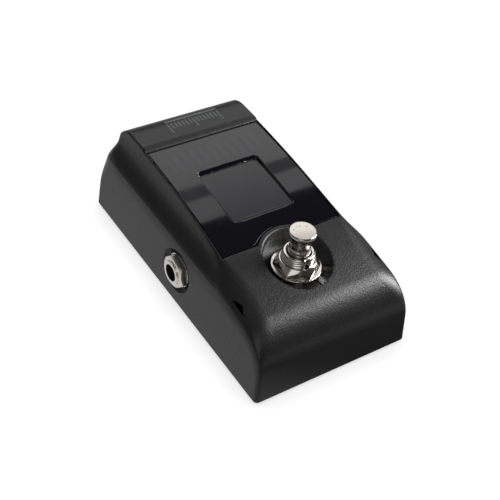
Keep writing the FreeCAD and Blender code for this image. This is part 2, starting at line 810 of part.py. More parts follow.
def rear_keys():
    """Two small push keys through the rear wall, each on its own board switch."""
    face = rear_at(key_z) + 0.7
    inner_end = size("board_rear") - 1.2
    flange_y = rear_at(key_z) - wall - 1.9
    for x, side_name in KEYS:
        stem = rod("key_stem_" + side_name, as_size(1.4), flange_y - inner_end + 0.5, x, inner_end, key_z, "y")
        flange = rod("key_flange_" + side_name, size("key_radius") + 1.1, as_size(0.9), x, flange_y, key_z, "y")
        shaft = rod("key_shaft_" + side_name, size("key_radius"), face - flange_y - 0.5, x, flange_y, key_z, "y")
        nose = cone("key_nose_" + side_name, size("key_radius"), size("key_radius") - 0.5, as_size(0.5), x,
                    face - 0.5, key_z, "y")
        keep(fuse("key_form_" + side_name, [stem, flange, shaft, nose]), side_name + "_key")
        case = block("key_case_" + side_name, as_size(6.2), as_size(6.0), as_size(5.2), x, size("board_rear") - 4,
                     board_top)
        well = rod("key_well_" + side_name, as_size(1.7), as_size(3), x, inner_end - size("key_travel") - 0.2,
                   key_z, "y")
        keep(cut("key_switch_" + side_name, case, [well]), side_name + "_key_switch")


# ---------------------------------------------------------------- footswitch

cap_low = size("bushing_top") + size("switch_travel") + 0.8
cap_top = cap_low + size("cap_height")
plunger_low = size("switch_body_top") - 5.0
collar_low = plunger_low + 2.0
spring_foot = size("switch_body_top") - size("switch_body_height") + 1.5
fit = size("running_fit")
HEX_TURN = FreeCAD.Rotation(Vector(0, 0, 1), 30)    # puts the nut's flats to the sides
STOP_GAP = 0.1         # between the plunger's collar and the bushing's end


def footswitch_button():
    """Metal cap that flares to its top, with its plunger, stop collar and foot."""
    radius = size("cap_radius")
    stem = size("plunger_radius")
    waist = (stem + radius) / 2 - 0.15
    collar = stem + 0.8
    corners = [(as_size(0), plunger_low), (stem - 1.6, plunger_low), (stem - 1.6, collar_low), (collar, collar_low),
               (collar, collar_low + 1.6), (stem, collar_low + 1.6), (stem, cap_low), (waist, cap_low + 2.6),
               (radius, cap_top - 1.9), (radius, cap_top - 0.6), (radius - 0.6, cap_top), (as_size(0), cap_top)]
    button = turned("button_turned", corners)
    return keep(place_on_switch(button, "footswitch_button"), "footswitch_button")


def place_on_switch(body, name):
    """Moves a turned body to the footswitch axis."""
    place(body, as_size(0), switch_y, as_size(0))
    return group(name + "_whole", [body])


def footswitch_bushing():
    """Threaded bushing with a key slot. Its narrow lower end stops the plunger's collar."""
    outer = size("bushing_radius")
    bore = size("plunger_radius") + fit
    tail = size("plunger_radius") + 0.6
    low = size("switch_body_top")
    lip = collar_low + 1.6 + STOP_GAP
    top = size("bushing_top")
    corners = [(tail, low), (outer, low), (outer, top - 0.6), (outer - 0.6, top), (bore, top), (bore, lip),
               (tail, lip)]
    sleeve = turned("bushing_turned", corners)
    body = place_on_switch(sleeve, "bushing")
    slot = block("bushing_slot", as_size(1.6), as_size(2.0), as_size(9), as_size(0), switch_y - outer, top - 6.4)
    return keep(cut("bushing_slotted", body, [slot]), "footswitch_bushing")


def footswitch_hardware():
    """Washer and nut on the pit floor, lock washer and nut below it."""
    centre = as_size(0)
    bore = size("bushing_radius") + 0.02
    floor = size("pit_floor")
    washer_thick = as_size(1.0)
    disc = rod("switch_washer_disc", size("switch_washer_radius"), washer_thick, centre, switch_y, floor)
    eye = rod("switch_washer_eye", bore, as_size(3), centre, switch_y, floor - 1)
    keep(cut("switch_washer_ring", disc, [eye]), "footswitch_washer")
    blank = hexagon("switch_nut_blank", size("switch_nut_flats"), size("switch_nut_height"), centre, switch_y,
                    floor + washer_thick)
    corner = size("switch_nut_flats") / math.sqrt(3)
    crown = cone("switch_nut_crown", corner + 2.4, corner - 0.8, size("switch_nut_height"), centre, switch_y,
                 floor + washer_thick)
    blank.Placement = blank.Placement.multiply(FreeCAD.Placement(Vector(0, 0, 0), HEX_TURN))
    nut_eye = rod("switch_nut_eye", bore, as_size(8), centre, switch_y, floor)
    keep(cut("switch_nut_cut", common("switch_nut_crowned", [blank, crown]), [nut_eye]), "footswitch_nut")
    lock_thick = as_size(0.6)
    lock_disc = rod("lock_washer_disc", as_size(8.6), lock_thick, centre, switch_y, pit_underside - lock_thick)
    lock_eye = rod("lock_washer_eye", bore, as_size(3), centre, switch_y, pit_underside - 2)
    keep(cut("lock_washer_ring", lock_disc, [lock_eye]), "footswitch_lock_washer")
    low_thick = as_size(2.4)
    low_z = pit_underside - lock_thick - low_thick
    low_blank = hexagon("lower_nut_blank", size("switch_nut_flats"), low_thick, centre, switch_y, low_z)
    low_eye = rod("lower_nut_eye", bore, as_size(5), centre, switch_y, low_z - 1)
    keep(cut("lower_nut_cut", low_blank, [low_eye]), "footswitch_lower_nut")


def footswitch_housing():
    """The switch's box, hollow for the spring, the contact bridge and the plunger's foot."""
    width = size("switch_body_width")
    low = size("switch_body_top") - size("switch_body_height")
    case = block("switch_case", width, width, size("switch_body_height"), as_size(0), switch_y, low)
    room = rod("switch_room", as_size(6.6), size("switch_body_height") - 1.5, as_size(0), switch_y, spring_foot)
    lid_low = size("switch_body_top") - 1.0
    lid_room = cone("switch_lid_room", as_size(6.6), size("plunger_radius") + 0.7, as_size(1.0), as_size(0),
                    switch_y, lid_low)
    column = rod("switch_lid_ring", as_size(6.7), as_size(1.0), as_size(0), switch_y, lid_low)
    ring = cut("switch_lid", column, [lid_room])
    keep(fuse("switch_housing_whole", [cut("switch_hollow", case, [room]), ring]), "footswitch_housing")


def footswitch_bridge():
    """The moving contact: a disc on the plunger's foot, with two contact tips."""
    bridge = rod("bridge_disc", as_size(5.6), as_size(0.8), as_size(0), switch_y, plunger_low - 0.8)
    tips = [rod("bridge_tip_%d" % index, as_size(0.8), as_size(0.5), as_size(x), switch_y, plunger_low - 1.3)
            for index, x in enumerate((-4.6, 4.6))]
    keep(fuse("bridge_whole", [bridge] + tips), "footswitch_contact_bridge")


def footswitch_spring():
    """Return spring between the housing's floor and the contact bridge."""
    wire = as_size(0.3)
    radius = as_size(2.6)
    tall = plunger_low - 0.8 - spring_foot - 2 * wire
    helix = doc.addObject("Part::Helix", "spring_path")
    helix.LocalCoord = "Right-handed"
    bind(helix, "Pitch", tall / 5)
    bind(helix, "Height", tall)
    bind(helix, "Radius", radius)
    place(helix, as_size(0), switch_y, spring_foot + wire)
    section = doc.addObject("Part::Circle", "spring_wire")
    bind(section, "Radius", wire)
    section.Placement = FreeCAD.Placement(Vector(0, 0, 0), FreeCAD.Rotation(Vector(1, 0, 0), 90))
    bind(section, "Placement.Base.x", radius)
    bind(section, "Placement.Base.y", switch_y)
    bind(section, "Placement.Base.z", spring_foot + wire)
    coil = doc.addObject("Part::Sweep", "spring_coil")
    coil.Sections = [section]
    coil.Spine = (helix, [])
    coil.Solid = True
    coil.Frenet = True
    keep_single(coil, "footswitch_spring")


def footswitch_terminals():
    """Six solder lugs under the switch's box."""
    low = size("switch_body_top") - size("switch_body_height")
    lugs = []
    for row_number, y in enumerate((-4.5, 4.5)):
        for column, x in enumerate((-5.0, 0.0, 5.0)):
            name = "lug_%d_%d" % (row_number, column)
            lugs.append(block(name, as_size(2.0), as_size(0.6), as_size(2.4), as_size(x), switch_y + y, low - 2.4))
    keep(group("lug_group", lugs), "footswitch_terminals")


# ---------------------------------------------------------------- audio jacks


def audio_jack(side_name, side):
    """One 6.35 mm jack: plastic body, threaded bush, washer, nut and contact springs."""
    outer = size("jack_body_outer")
    length = size("jack_body_length")
    inner = outer - length
    bore = size("jack_bore_radius")
    face = size("jack_face")
    wide = size("jack_body_width")
    middle_x = side * (outer - length / 2)
    case = block("jack_case_" + side_name, length, wide, wide, middle_x, jack_y[side], jack_z - wide / 2)
    bore_rod = side_rod("jack_bore_" + side_name, bore, inner + 1.2, outer + 2, side, jack_y[side], jack_z)
    bush_seat = side_rod("jack_bush_seat_" + side_name, size("jack_bush_radius"), outer - 3.0, outer + 2, side,
                         jack_y[side], jack_z)
    window = block("jack_side_" + side_name, length - 8, wide, as_size(4.4), middle_x - side * 1.5, jack_y[side],
                   jack_z - 2.2)
    keep(cut("jack_body_" + side_name, case, [bore_rod, bush_seat, window]), side_name + "_jack_body")

    bush = side_rod("jack_sleeve_" + side_name, size("jack_bush_radius"), outer - 3.0, face, side, jack_y[side],
                    jack_z)
    bush_bore = side_rod("jack_sleeve_bore_" + side_name, bore, outer - 5, face + 2, side, jack_y[side], jack_z)
    keep(cut("jack_bush_" + side_name, bush, [bush_bore]), side_name + "_jack_bush")

    sink = size("jack_sink_floor")
    washer_out = sink + 0.5
    thread = size("jack_bush_radius") + 0.02
    washer = side_rod("jack_washer_disc_" + side_name, as_size(6.6), sink, washer_out, side, jack_y[side], jack_z)
    washer_eye = side_rod("jack_washer_eye_" + side_name, thread, sink - 1, washer_out + 1, side, jack_y[side],
                          jack_z)
    keep(cut("jack_washer_ring_" + side_name, washer, [washer_eye]), side_name + "_jack_washer")

    nut_out = washer_out + size("jack_nut_height")
    corner = size("jack_nut_flats") / math.sqrt(3)
    start = washer_out if side > 0 else -nut_out
    blank = hexagon("jack_nut_blank_" + side_name, size("jack_nut_flats"), size("jack_nut_height"), start,
                    jack_y[side], jack_z, "x")
    thick_end = corner + 2.4
    thin_end = corner - 0.8
    near, far = (thick_end, thin_end) if side > 0 else (thin_end, thick_end)
    crown = cone("jack_nut_crown_" + side_name, near, far, size("jack_nut_height"), start, jack_y[side],
                 jack_z, "x")
    nut_eye = side_rod("jack_nut_eye_" + side_name, thread, washer_out - 1, nut_out + 1, side, jack_y[side],
                       jack_z)
    keep(cut("jack_nut_cut_" + side_name, common("jack_nut_crowned_" + side_name, [blank, crown]), [nut_eye]),
         side_name + "_jack_nut")

    springs = []
    for index, edge in enumerate((-1, 1)):
        blade_y = jack_y[side] + edge * (bore + 1.0)
        blade = block("jack_blade_%s_%d" % (side_name, index), length - 10, as_size(0.4), as_size(3.4),
                      middle_x - side * 1.5, blade_y, jack_z - 1.7)
        foot = block("jack_blade_foot_%s_%d" % (side_name, index), as_size(2.0), as_size(3.4), as_size(3.4),
                     middle_x - side * (length / 2 - 8.0), jack_y[side] + edge * (bore + 2.5), jack_z - 1.7)
        springs.append(fuse("jack_spring_%s_%d" % (side_name, index), [blade, foot]))
    keep(group("jack_springs_" + side_name, springs), side_name + "_jack_contacts")


# ---------------------------------------------------------------- underside

lid_front = size("battery_place") - size("lid_width") / 2
lid_rear = size("battery_place") + size("lid_width") / 2
BATTERY_SHIFT = -5.0       # leaves room for the snap cap at one end
TONGUES = (-17.0, 17.0)    # places across of the lid's two tongues
STUD_SPREAD = 12.7
SNAP_TALL = 12.5


def base_plate():
    """Steel plate that closes the casing, with the battery opening and countersunk screw holes."""
    across = size("casing_width") - 2 * wall - 2 * size("plate_gap")
    along = size("casing_length") - 2 * wall - 2 * size("plate_gap") - 0.4
    blank = block("plate_blank", across, along, size("plate_thick"), as_size(0), as_size(0), plate_low)
    opening = block("plate_opening", size("lid_length"), size("lid_width"), as_size(4), as_size(0),
                    size("battery_place"), as_size(-1))
    tools = [opening]
    screws = []
    for index, (x, y) in enumerate(post_places()):
        tools.append(rod("plate_hole_%d" % index, size("screw_radius") + 0.2, as_size(4), x, y, as_size(-1)))
        head = rod("plate_head_%d" % index, as_size(2.8), as_size(1.2), x, y, plate_low - 1.2)
        shank = rod("plate_shank_%d" % index, size("screw_radius"), as_size(8.0), x, y, plate_low)
        slot_one = block("plate_slot_a_%d" % index, as_size(3.4), as_size(0.7), as_size(1), x, y, plate_low - 1.7)
        slot_two = block("plate_slot_b_%d" % index, as_size(0.7), as_size(3.4), as_size(1), x, y, plate_low - 1.7)
        bolt = fuse("plate_bolt_%d" % index, [head, shank])
        screws.append(cut("plate_screw_%d" % index, bolt, [slot_one, slot_two]))
    keep(cut("plate_cut", blank, tools), "base_plate")
    keep(group("plate_screw_group", screws), "base_plate_screws")


def rubber_feet():
    feet = []
    side = half_width - 13.0
    front = half_length - 11.0
    rear = half_length - 10.0
    for index, (x, y) in enumerate(((-side, -front), (side, -front), (-side, rear), (side, rear))):
        pad = rod("foot_pad_%d" % index, size("foot_radius"), size("foot_height") + plate_low - 0.5, x, y,
                  -size("foot_height") + 0.5)
        bevel = cone("foot_bevel_%d" % index, size("foot_radius") - 0.5, size("foot_radius"), as_size(0.5), x, y,
                     -size("foot_height"))
        feet.append(fuse("foot_%d" % index, [pad, bevel]))
    keep(group("foot_group", feet), "rubber_feet")


def battery_lid():
    """Snap lid hinged on two tongues at its rear edge."""
    gap = size("loose_gap")
    across = size("lid_length") - 2 * gap
    along = size("lid_width") - 2 * gap
    panel = block("lid_panel", across, along, size("plate_thick"), as_size(0), size("battery_place"), plate_low)
    ribs = [block("lid_rib_%d" % index, as_size(1.2), along - 8, as_size(0.4), as_size(x), size("battery_place"),
                  plate_high)
            for index, x in enumerate((-16.0, 0.0, 16.0))]
    grip = rod("lid_grip", as_size(5.0), as_size(0.5), as_size(0), lid_front + gap + 5.2, plate_low - 0.1)
    tongue_width = as_size(6.0)
    tongues = []
    for index, x in enumerate(TONGUES):
        post = block("lid_tongue_post_%d" % index, tongue_width, as_size(1.6), as_size(1.4), as_size(x),
                     lid_rear - gap - 0.8, plate_high)
        hook = block("lid_tongue_%d" % index, tongue_width, as_size(2.8), as_size(0.8), as_size(x),
                     lid_rear + 0.2, plate_high + 0.6)
        tongues.extend([post, hook])
    keep(cut("lid_whole", fuse("lid_form", [panel] + ribs + tongues), [grip]), "battery_lid")


def battery():
    """Nine-volt block with two snap studs, in its tray, with the snap cap, leads and foam."""
    length = size("battery_length")
    width = size("battery_width")
    tall = size("battery_thick")
    y = size("battery_place")
    low = battery_low
    middle_x = as_size(BATTERY_SHIFT)
    case = block("battery_block", length, width, tall, middle_x, y, low)
    keep_single(case, "nine_volt_battery")
    end = middle_x + length / 2
    studs = []
    for index, offset in enumerate((-STUD_SPREAD / 2, STUD_SPREAD / 2)):
        studs.append(rod("battery_stud_%d" % index, as_size(2.6 if index else 3.2), as_size(2.6), end, y + offset,
                         low + tall / 2, "x"))
    keep(group("battery_stud_group", studs), "battery_studs")
    snap_block = block("snap_block", as_size(3.6), width - 2, as_size(SNAP_TALL), end + 2.4, y,
                       low + tall / 2 - SNAP_TALL / 2)
    pockets = [rod("snap_pocket_%d" % index, as_size(3.4), as_size(2.7), end, y + offset, low + tall / 2, "x")
               for index, offset in enumerate((-STUD_SPREAD / 2, STUD_SPREAD / 2))]
    keep(cut("snap_cap", snap_block, pockets), "battery_snap")

    thin = tray_thick
    tray_length = 2 * (half_width - wall) - 3.4
    tray_width = width + 2 * thin + 1.0
    tray_low = plate_high + 0.2
    outer = block("tray_outer", tray_length, tray_width, tray_top - tray_low, as_size(0), y, tray_low)
    room = block("tray_room", tray_length - 2 * thin, tray_width - 2 * thin, tray_top - thin, as_size(0), y,
                 as_size(0))
    lead_door = block("tray_lead_door", as_size(7), as_size(6), as_size(4), end + 1.8, y - width / 2 + 5,
                      tray_top - 2)
    tongue_doors = [block("tray_tongue_door_%d" % index, as_size(7.4), as_size(5), as_size(5), as_size(x),
                          y + tray_width / 2, as_size(0)) for index, x in enumerate(TONGUES)]
    keep(cut("tray_whole", outer, [room, lead_door] + tongue_doors), "battery_tray")
    foam_thick = as_size(0.45)
    foam = block("foam_pad", as_size(30), as_size(18), foam_thick, middle_x, y, low + tall)
    keep_single(foam, "battery_foam_pad")


# ---------------------------------------------------------------- wiring

WIRE_SHARE = 0.45      # share of the shorter run that a bend takes


def wire(name, points, radius):
    """A held wire: straight runs joined by tangent arcs, swept with a round section."""
    corners = [Vector(*[as_size(value).number for value in point]) for point in points]
    edges = []
    start = corners[0]
    for index in range(1, len(corners) - 1):
        before = (corners[index - 1] - corners[index]).normalize()
        after = (corners[index + 1] - corners[index]).normalize()
        shorter = min((corners[index - 1] - corners[index]).Length, (corners[index + 1] - corners[index]).Length)
        half_turn = (math.pi - before.getAngle(after)) / 2
        reach = WIRE_SHARE * shorter
        arc_radius = reach / math.tan(half_turn)
        first = corners[index] + before * reach
        last = corners[index] + after * reach
        inward = (before + after).normalize()
        middle = corners[index] + inward * (arc_radius / math.cos(half_turn) - arc_radius)
        edges.append(Part.LineSegment(start, first).toShape())
        edges.append(Part.Arc(first, middle, last).toShape())
        start = last
    edges.append(Part.LineSegment(start, corners[-1]).toShape())
    path = Part.Wire(edges)
    ring = Part.Wire([Part.Circle(corners[0], corners[1] - corners[0], radius).toShape()])
    feature = doc.addObject("Part::Feature", name)
    feature.Shape = path.makePipeShell([ring], True, False)
    return feature


def wiring():
    """Battery leads, jack wires and footswitch wires, all clipped inside the casing."""
    snap_x = BATTERY_SHIFT + size("battery_length").number / 2 + 2.4
    snap_top = battery_low.number + size("battery_thick").number / 2 + SNAP_TALL / 2
    lead_y = size("battery_place").number - size("battery_width").number / 2 + 5
    high = board_low.number
    leads = []
    for index, shift in enumerate((-1.2, 1.2)):
        y = lead_y + shift
        route = [(snap_x, y, snap_top), (snap_x, y, snap_top + 2.0), (snap_x - 1.4, y, high - 2.2),
                 (snap_x - 1.4, y, high)]
        leads.append(wire("battery_lead_%d" % index, route, 0.6))
    keep(group("battery_lead_group", leads), "battery_leads")

    jack_top = jack_z.number + size("jack_body_width").number / 2
    jack_wires = []
    for side_name, side in SIDES:
        for index, shift in enumerate((-2.0, 2.0)):
            x = side * (size("jack_body_outer").number - 16.0)
            y = jack_y[side].number + shift
            route = [(x, y, jack_top), (x, y, high)]
            jack_wires.append(wire("jack_wire_%s_%d" % (side_name, index), route, 0.5))
    keep(group("jack_wire_group", jack_wires), "jack_wires")

    edge = switch_y.number + size("switch_body_width").number / 2
    board_edge = board_front.number
    switch_wires = []
    for index, x in enumerate((-4.0, 0.0, 4.0)):
        route = [(x, edge, 16.0), (x, edge + 4.0, 16.0), (x, board_edge + 2.0, 20.0), (x, board_edge + 2.0, high)]
        switch_wires.append(wire("switch_wire_%d" % index, route, 0.5))
    keep(group("switch_wire_group", switch_wires), "footswitch_wires")


# ---------------------------------------------------------------- assembly


def check_document():
    """Stops if any object failed, or a sub-part has no sound shape."""
    for thing in doc.Objects:
        if "Invalid" in thing.State or "Error" in thing.State:
            raise RuntimeError("failed object: %s %s" % (thing.Name, thing.State))
    for label, thing in pieces.items():
        if thing.Shape.isNull() or not thing.Shape.isValid() or not thing.Shape.Solids:
            raise RuntimeError("no sound shape: %s" % label)


upper_casing()
display_window()
window_tape()
level_meter()
note_display()
main_board()
board_frame()
board_chips()
board_capacitors()
dc_jacks()
rear_keys()
footswitch_button()
footswitch_bushing()
footswitch_hardware()
footswitch_housing()
footswitch_bridge()
footswitch_spring()
footswitch_terminals()
for side_name, side in SIDES:
    audio_jack(side_name, side)
base_plate()
rubber_feet()
battery_lid()
battery()
wiring()
doc.recompute()
check_document()
for label, thing in pieces.items():
    thing.Shape.exportStep("parts/%s.step" % label)
    print("%-28s %d solids %10.2f mm3" % (label, len(thing.Shape.Solids), thing.Shape.Volume))
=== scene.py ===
import json
import math

import bmesh
import bpy
import numpy as np
from mathutils import Matrix, Vector


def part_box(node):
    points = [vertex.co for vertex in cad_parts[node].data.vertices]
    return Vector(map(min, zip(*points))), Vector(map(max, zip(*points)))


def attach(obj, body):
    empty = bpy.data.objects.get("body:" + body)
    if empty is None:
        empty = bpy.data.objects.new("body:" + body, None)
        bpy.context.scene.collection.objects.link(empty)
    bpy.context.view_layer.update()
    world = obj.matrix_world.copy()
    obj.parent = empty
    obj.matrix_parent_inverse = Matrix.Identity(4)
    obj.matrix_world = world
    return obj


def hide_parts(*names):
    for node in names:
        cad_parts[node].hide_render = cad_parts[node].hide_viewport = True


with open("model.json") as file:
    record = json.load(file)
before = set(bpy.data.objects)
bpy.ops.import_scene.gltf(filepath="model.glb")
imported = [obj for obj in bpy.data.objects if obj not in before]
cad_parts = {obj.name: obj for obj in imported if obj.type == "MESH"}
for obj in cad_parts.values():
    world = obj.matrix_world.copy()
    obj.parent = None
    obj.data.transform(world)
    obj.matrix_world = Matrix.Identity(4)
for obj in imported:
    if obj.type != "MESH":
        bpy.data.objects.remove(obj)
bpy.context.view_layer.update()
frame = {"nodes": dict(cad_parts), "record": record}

nodes = frame["nodes"]
MM = 0.001
LIFT = 1.5                      # height of the feet, which everything stands on

# the casing's own sizes, in millimetres from the floor under its middle
DECK_RADIUS = 340.0
DECK_TOP_PLACE = 42.0
DECK_TOP_HEIGHT = 37.5 + LIFT
STRIP_HEIGHT = 38.1 + LIFT
SWITCH_PLACE = -29.0
PIT_RADIUS = 12.6

# the window and its sunk square panel
WINDOW_REAR = 36.1
WINDOW_FRONT = -18.9
WINDOW_REAR_HALF = 24.0
WINDOW_FRONT_HALF = 25.0
WINDOW_SINK = 0.5
WINDOW_THICK = 2.4
NOTCH_RADIUS = 14.9
NOTCH_BLEND = 1.6
PANEL_MIDDLE = 6.2
PANEL_HALF = 13.5
PANEL_CORNER = 1.8
PANEL_WALL = 0.85
PANEL_REAR_DEPTH = 1.3
PANEL_FRONT_DEPTH = 0.42

# the audio jacks, by side
JACK_PLACES = {-1: -2.1, 1: 0.1}
JACK_HEIGHT = 13.6
JACK_HOLE = 3.25


def deck_height(along, drop=0.0):
    """Height of the crowned deck, less drop, at a place along the casing."""
    radius = DECK_RADIUS - drop
    offset = along - DECK_TOP_PLACE
    return DECK_TOP_HEIGHT - DECK_RADIUS + math.sqrt(radius * radius - offset * offset)


def ease(share):
    """Runs smoothly from 0 to 1 as its share does."""
    share = min(max(share, 0.0), 1.0)
    return share * share * (3 - 2 * share)


# ---------------------------------------------------------------- finishes

class Value:
    """A number or vector that varies over a surface. Sums on it add their own nodes."""

    def __init__(self, finish, socket):
        self.finish = finish
        self.socket = socket

    def __add__(self, other):
        return self.finish.maths("ADD", self, other)

    __radd__ = __add__

    def __sub__(self, other):
        return self.finish.maths("SUBTRACT", self, other)

    def __rsub__(self, other):
        return self.finish.maths("SUBTRACT", other, self)

    def __mul__(self, other):
        return self.finish.maths("MULTIPLY", self, other)

    __rmul__ = __mul__

    def __gt__(self, other):
        return self.finish.maths("GREATER_THAN", self, other)

    def __lt__(self, other):
        return self.finish.maths("LESS_THAN", self, other)


# sockets of a colour mix, which share their names with the sockets of other mixes
MIX_SHARE = 0
MIX_FIRST = 6
MIX_SECOND = 7
MIX_RESULT = 2


class Nodes:
    """A tree of nodes under construction, for a finish or for the surroundings."""

    def __init__(self, owner, place):
        owner.use_nodes = True
        self.tree = owner.node_tree
        self.tree.nodes.clear()
        self.place = self.add("ShaderNodeTexCoord", output=place)

    def add(self, kind, settings=None, sockets=None, output=0):
        """Adds one node, with its settings first and then its sockets' values or links."""
        node = self.tree.nodes.new(kind)
        for name, setting in (settings or {}).items():
            setattr(node, name, setting)
        for name, given in (sockets or {}).items():
            if isinstance(given, Value):
                self.tree.links.new(given.socket, node.inputs[name])
            else:
                node.inputs[name].default_value = given
        return Value(self, node.outputs[output]) if node.outputs else None

    def maths(self, operation, first, second):
        return self.add("ShaderNodeMath", {"operation": operation}, {0: first, 1: second})


class Finish(Nodes):
    """A material under construction."""

    def __init__(self, name):
        self.material = bpy.data.materials.new(name)
        super().__init__(self.material, "Object")

    def noise(self, size_mm, detail=2.0, place=None):
        """Soft noise from 0 to 1 with features of about that size."""
        sockets = {"Vector": place or self.place, "Scale": 1 / (size_mm * MM), "Detail": detail}
        return self.add("ShaderNodeTexNoise", {}, sockets, "Fac")

    def cells(self, size_mm):
        """Distance to the nearest of scattered points, about that far apart."""
        sockets = {"Vector": self.place, "Scale": 1 / (size_mm * MM)}
        return self.add("ShaderNodeTexVoronoi", {}, sockets, "Distance")

    def ramp(self, amount, low, high):
        """Goes smoothly from 0 at low to 1 at high."""
        return self.add("ShaderNodeMapRange", {"interpolation_type": "SMOOTHSTEP"},
                        {"Value": amount, "From Min": low, "From Max": high}, "Result")

    def stretched(self, across, along, up):
        """The place, scaled along each axis, for grain that runs one way."""
        sockets = {0: self.place, 1: (across, along, up)}
        return self.add("ShaderNodeVectorMath", {"operation": "MULTIPLY"}, sockets, "Vector")

    def axis(self, name):
        """One coordinate of the place, in millimetres."""
        metres = self.add("ShaderNodeSeparateXYZ", {}, {"Vector": self.place}, name)
        return metres * (1 / MM)

    def blend(self, share, first, second):
        """Mixes two colours by a share from 0 to 1."""
        sockets = {MIX_SHARE: share, MIX_FIRST: first, MIX_SECOND: second}
        return self.add("ShaderNodeMix", {"data_type": "RGBA"}, sockets, MIX_RESULT)

    def bump(self, height, depth_mm, strength=1.0):
        sockets = {"Height": height, "Distance": depth_mm * MM, "Strength": strength}
        return self.add("ShaderNodeBump", {}, sockets, "Normal")

    def worn_edge(self, low=0.53, high=0.62):
        """1 on outer edges, 0 on flat ground."""
        return self.ramp(self.add("ShaderNodeNewGeometry", output="Pointiness"), low, high)

    def surface(self, **sockets):
        """Ends the material with its shader. An underscore in a name stands for a space."""
        shader = self.add("ShaderNodeBsdfPrincipled", {},
                          {name.replace("_", " "): given for name, given in sockets.items()}, "BSDF")
        self.add_output(shader)
        return self.material

    def add_output(self, shader):
        self.add("ShaderNodeOutputMaterial", {}, {"Surface": shader})


def grey(level, warmth=0.0):
    """A colour near grey, warmer with a positive warmth."""
    return (level * (1 + warmth), level, level * (1 - warmth), 1.0)


def powder_coat(name, level=0.010, roughness=0.36, grain_mm=0.6):
    """Satin black powder coat with a fine pebbled skin."""
    finish = Finish(name)
    pebbles = finish.noise(grain_mm, 2.0)
    orange_peel = finish.noise(grain_mm * 4, 2.0)
    cloud = finish.noise(18.0, 3.0)
    specks = 1 - finish.ramp(finish.cells(1.3), 0.02, 0.10)
    edge = finish.worn_edge()
    colour = finish.blend(cloud, grey(level * 0.8), grey(level * 1.25, -0.03))
    colour = finish.blend(specks * 0.35, colour, grey(level * 3.5))
    colour = finish.blend(edge * 0.4, colour, grey(level * 2.6))
    rough = cloud * 0.06 + pebbles * 0.08 - edge * 0.06 + (roughness - 0.07)
    skin = pebbles * 0.7 + orange_peel * 0.6
    return finish.surface(Base_Color=colour, Roughness=rough, Normal=finish.bump(skin, 0.10, 0.85), IOR=1.5)


def smoked_acrylic():
    """Polished near-black window, with the faint bars of the meter showing through."""
    finish = Finish("smoked_acrylic")
    across = finish.axis("X")
    along = finish.axis("Y")
    phase = finish.maths("PINGPONG", across + 60.0, 1.9)
    bars = finish.ramp(phase, 0.75, 1.05)
    inside = (along > 22.5) * (along < 32.0) * (finish.maths("ABSOLUTE", across, 0.0) < 20.0)
    smudge = finish.noise(9.0, 4.0)
    dust = 1 - finish.ramp(finish.cells(3.1), 0.015, 0.05)
    colour = finish.blend(bars * inside * 0.55, (0.0035, 0.0035, 0.006, 1), (0.016, 0.015, 0.02, 1))
    colour = finish.blend(dust * 0.5, colour, grey(0.05))
    from_panel = finish.maths("MAXIMUM", finish.maths("ABSOLUTE", across, 0.0),
                              finish.maths("ABSOLUTE", along - PANEL_MIDDLE, 0.0))
    satin = 1 - finish.ramp(from_panel, PANEL_HALF - 1.4, PANEL_HALF - 0.4)
    rough = finish.ramp(smudge, 0.35, 0.8) * 0.04 + dust * 0.2 + satin * 0.2 + 0.05
    wave = finish.noise(14.0, 1.0)
    return finish.surface(Base_Color=colour, Roughness=rough, Normal=finish.bump(wave, 0.02, 0.5), IOR=1.49)


def bright_metal(name, colour, roughness, scratch_mm=0.12, pits=0.0):
    """Plated metal with hairline scratches, cloudy polish and a few dark pits."""
    finish = Finish(name)
    hair = finish.noise(scratch_mm, 2.0, finish.stretched(1.0, 0.12, 1.0))
    cloud = finish.noise(2.4, 3.0)
    edge = finish.worn_edge(0.52, 0.60)
    pit = (1 - finish.ramp(finish.cells(1.9), 0.11, 0.20)) * finish.ramp(finish.noise(5.0), 0.42, 0.50)
    shade = finish.blend(cloud, tuple(0.90 * part for part in colour) + (1,), colour + (1,))
    shade = finish.blend(edge * 0.35, shade, (0.95, 0.93, 0.90, 1))
    shade = finish.blend(pit * pits, shade, (0.16, 0.12, 0.09, 1))
    rough = cloud * 0.07 + hair * 0.05 + pit * pits * 0.4 + (roughness - 0.05)
    height = hair * 0.4 - pit * pits
    skin = finish.bump(height, 0.012, 0.6)
    return finish.surface(Base_Color=shade, Metallic=1.0, Roughness=rough, Normal=skin)


def jack_bush_metal():
    """The jack's bush: plated outside, with painted shade down the plug's hole, which is near black there."""
    finish = Finish("jack_bush_plate")
    across, along, high = finish.axis("X"), finish.axis("Y"), finish.axis("Z") - (JACK_HEIGHT + LIFT)
    middle = (across > 0.0) * (JACK_PLACES[1] - JACK_PLACES[-1]) + JACK_PLACES[-1]
    off = along - middle
    reach = finish.maths("SQRT", off * off + high * high, 0.0)
    plated_except_painted_hole = finish.ramp(reach, JACK_HOLE + 0.02, JACK_HOLE + 0.14)
    hair = finish.noise(0.12, 2.0)
    # painted shade: the bore of the plug's hole is coloured near black, matt and not metallic
    shade = finish.blend(plated_except_painted_hole, grey(0.006), (0.90, 0.86, 0.81, 1))
    rough = hair * 0.08 + (1 - plated_except_painted_hole) * 0.4 + 0.22
    skin = finish.bump(hair, 0.01, 0.5)
    return finish.surface(Base_Color=shade, Metallic=plated_except_painted_hole, Roughness=rough, Normal=skin)


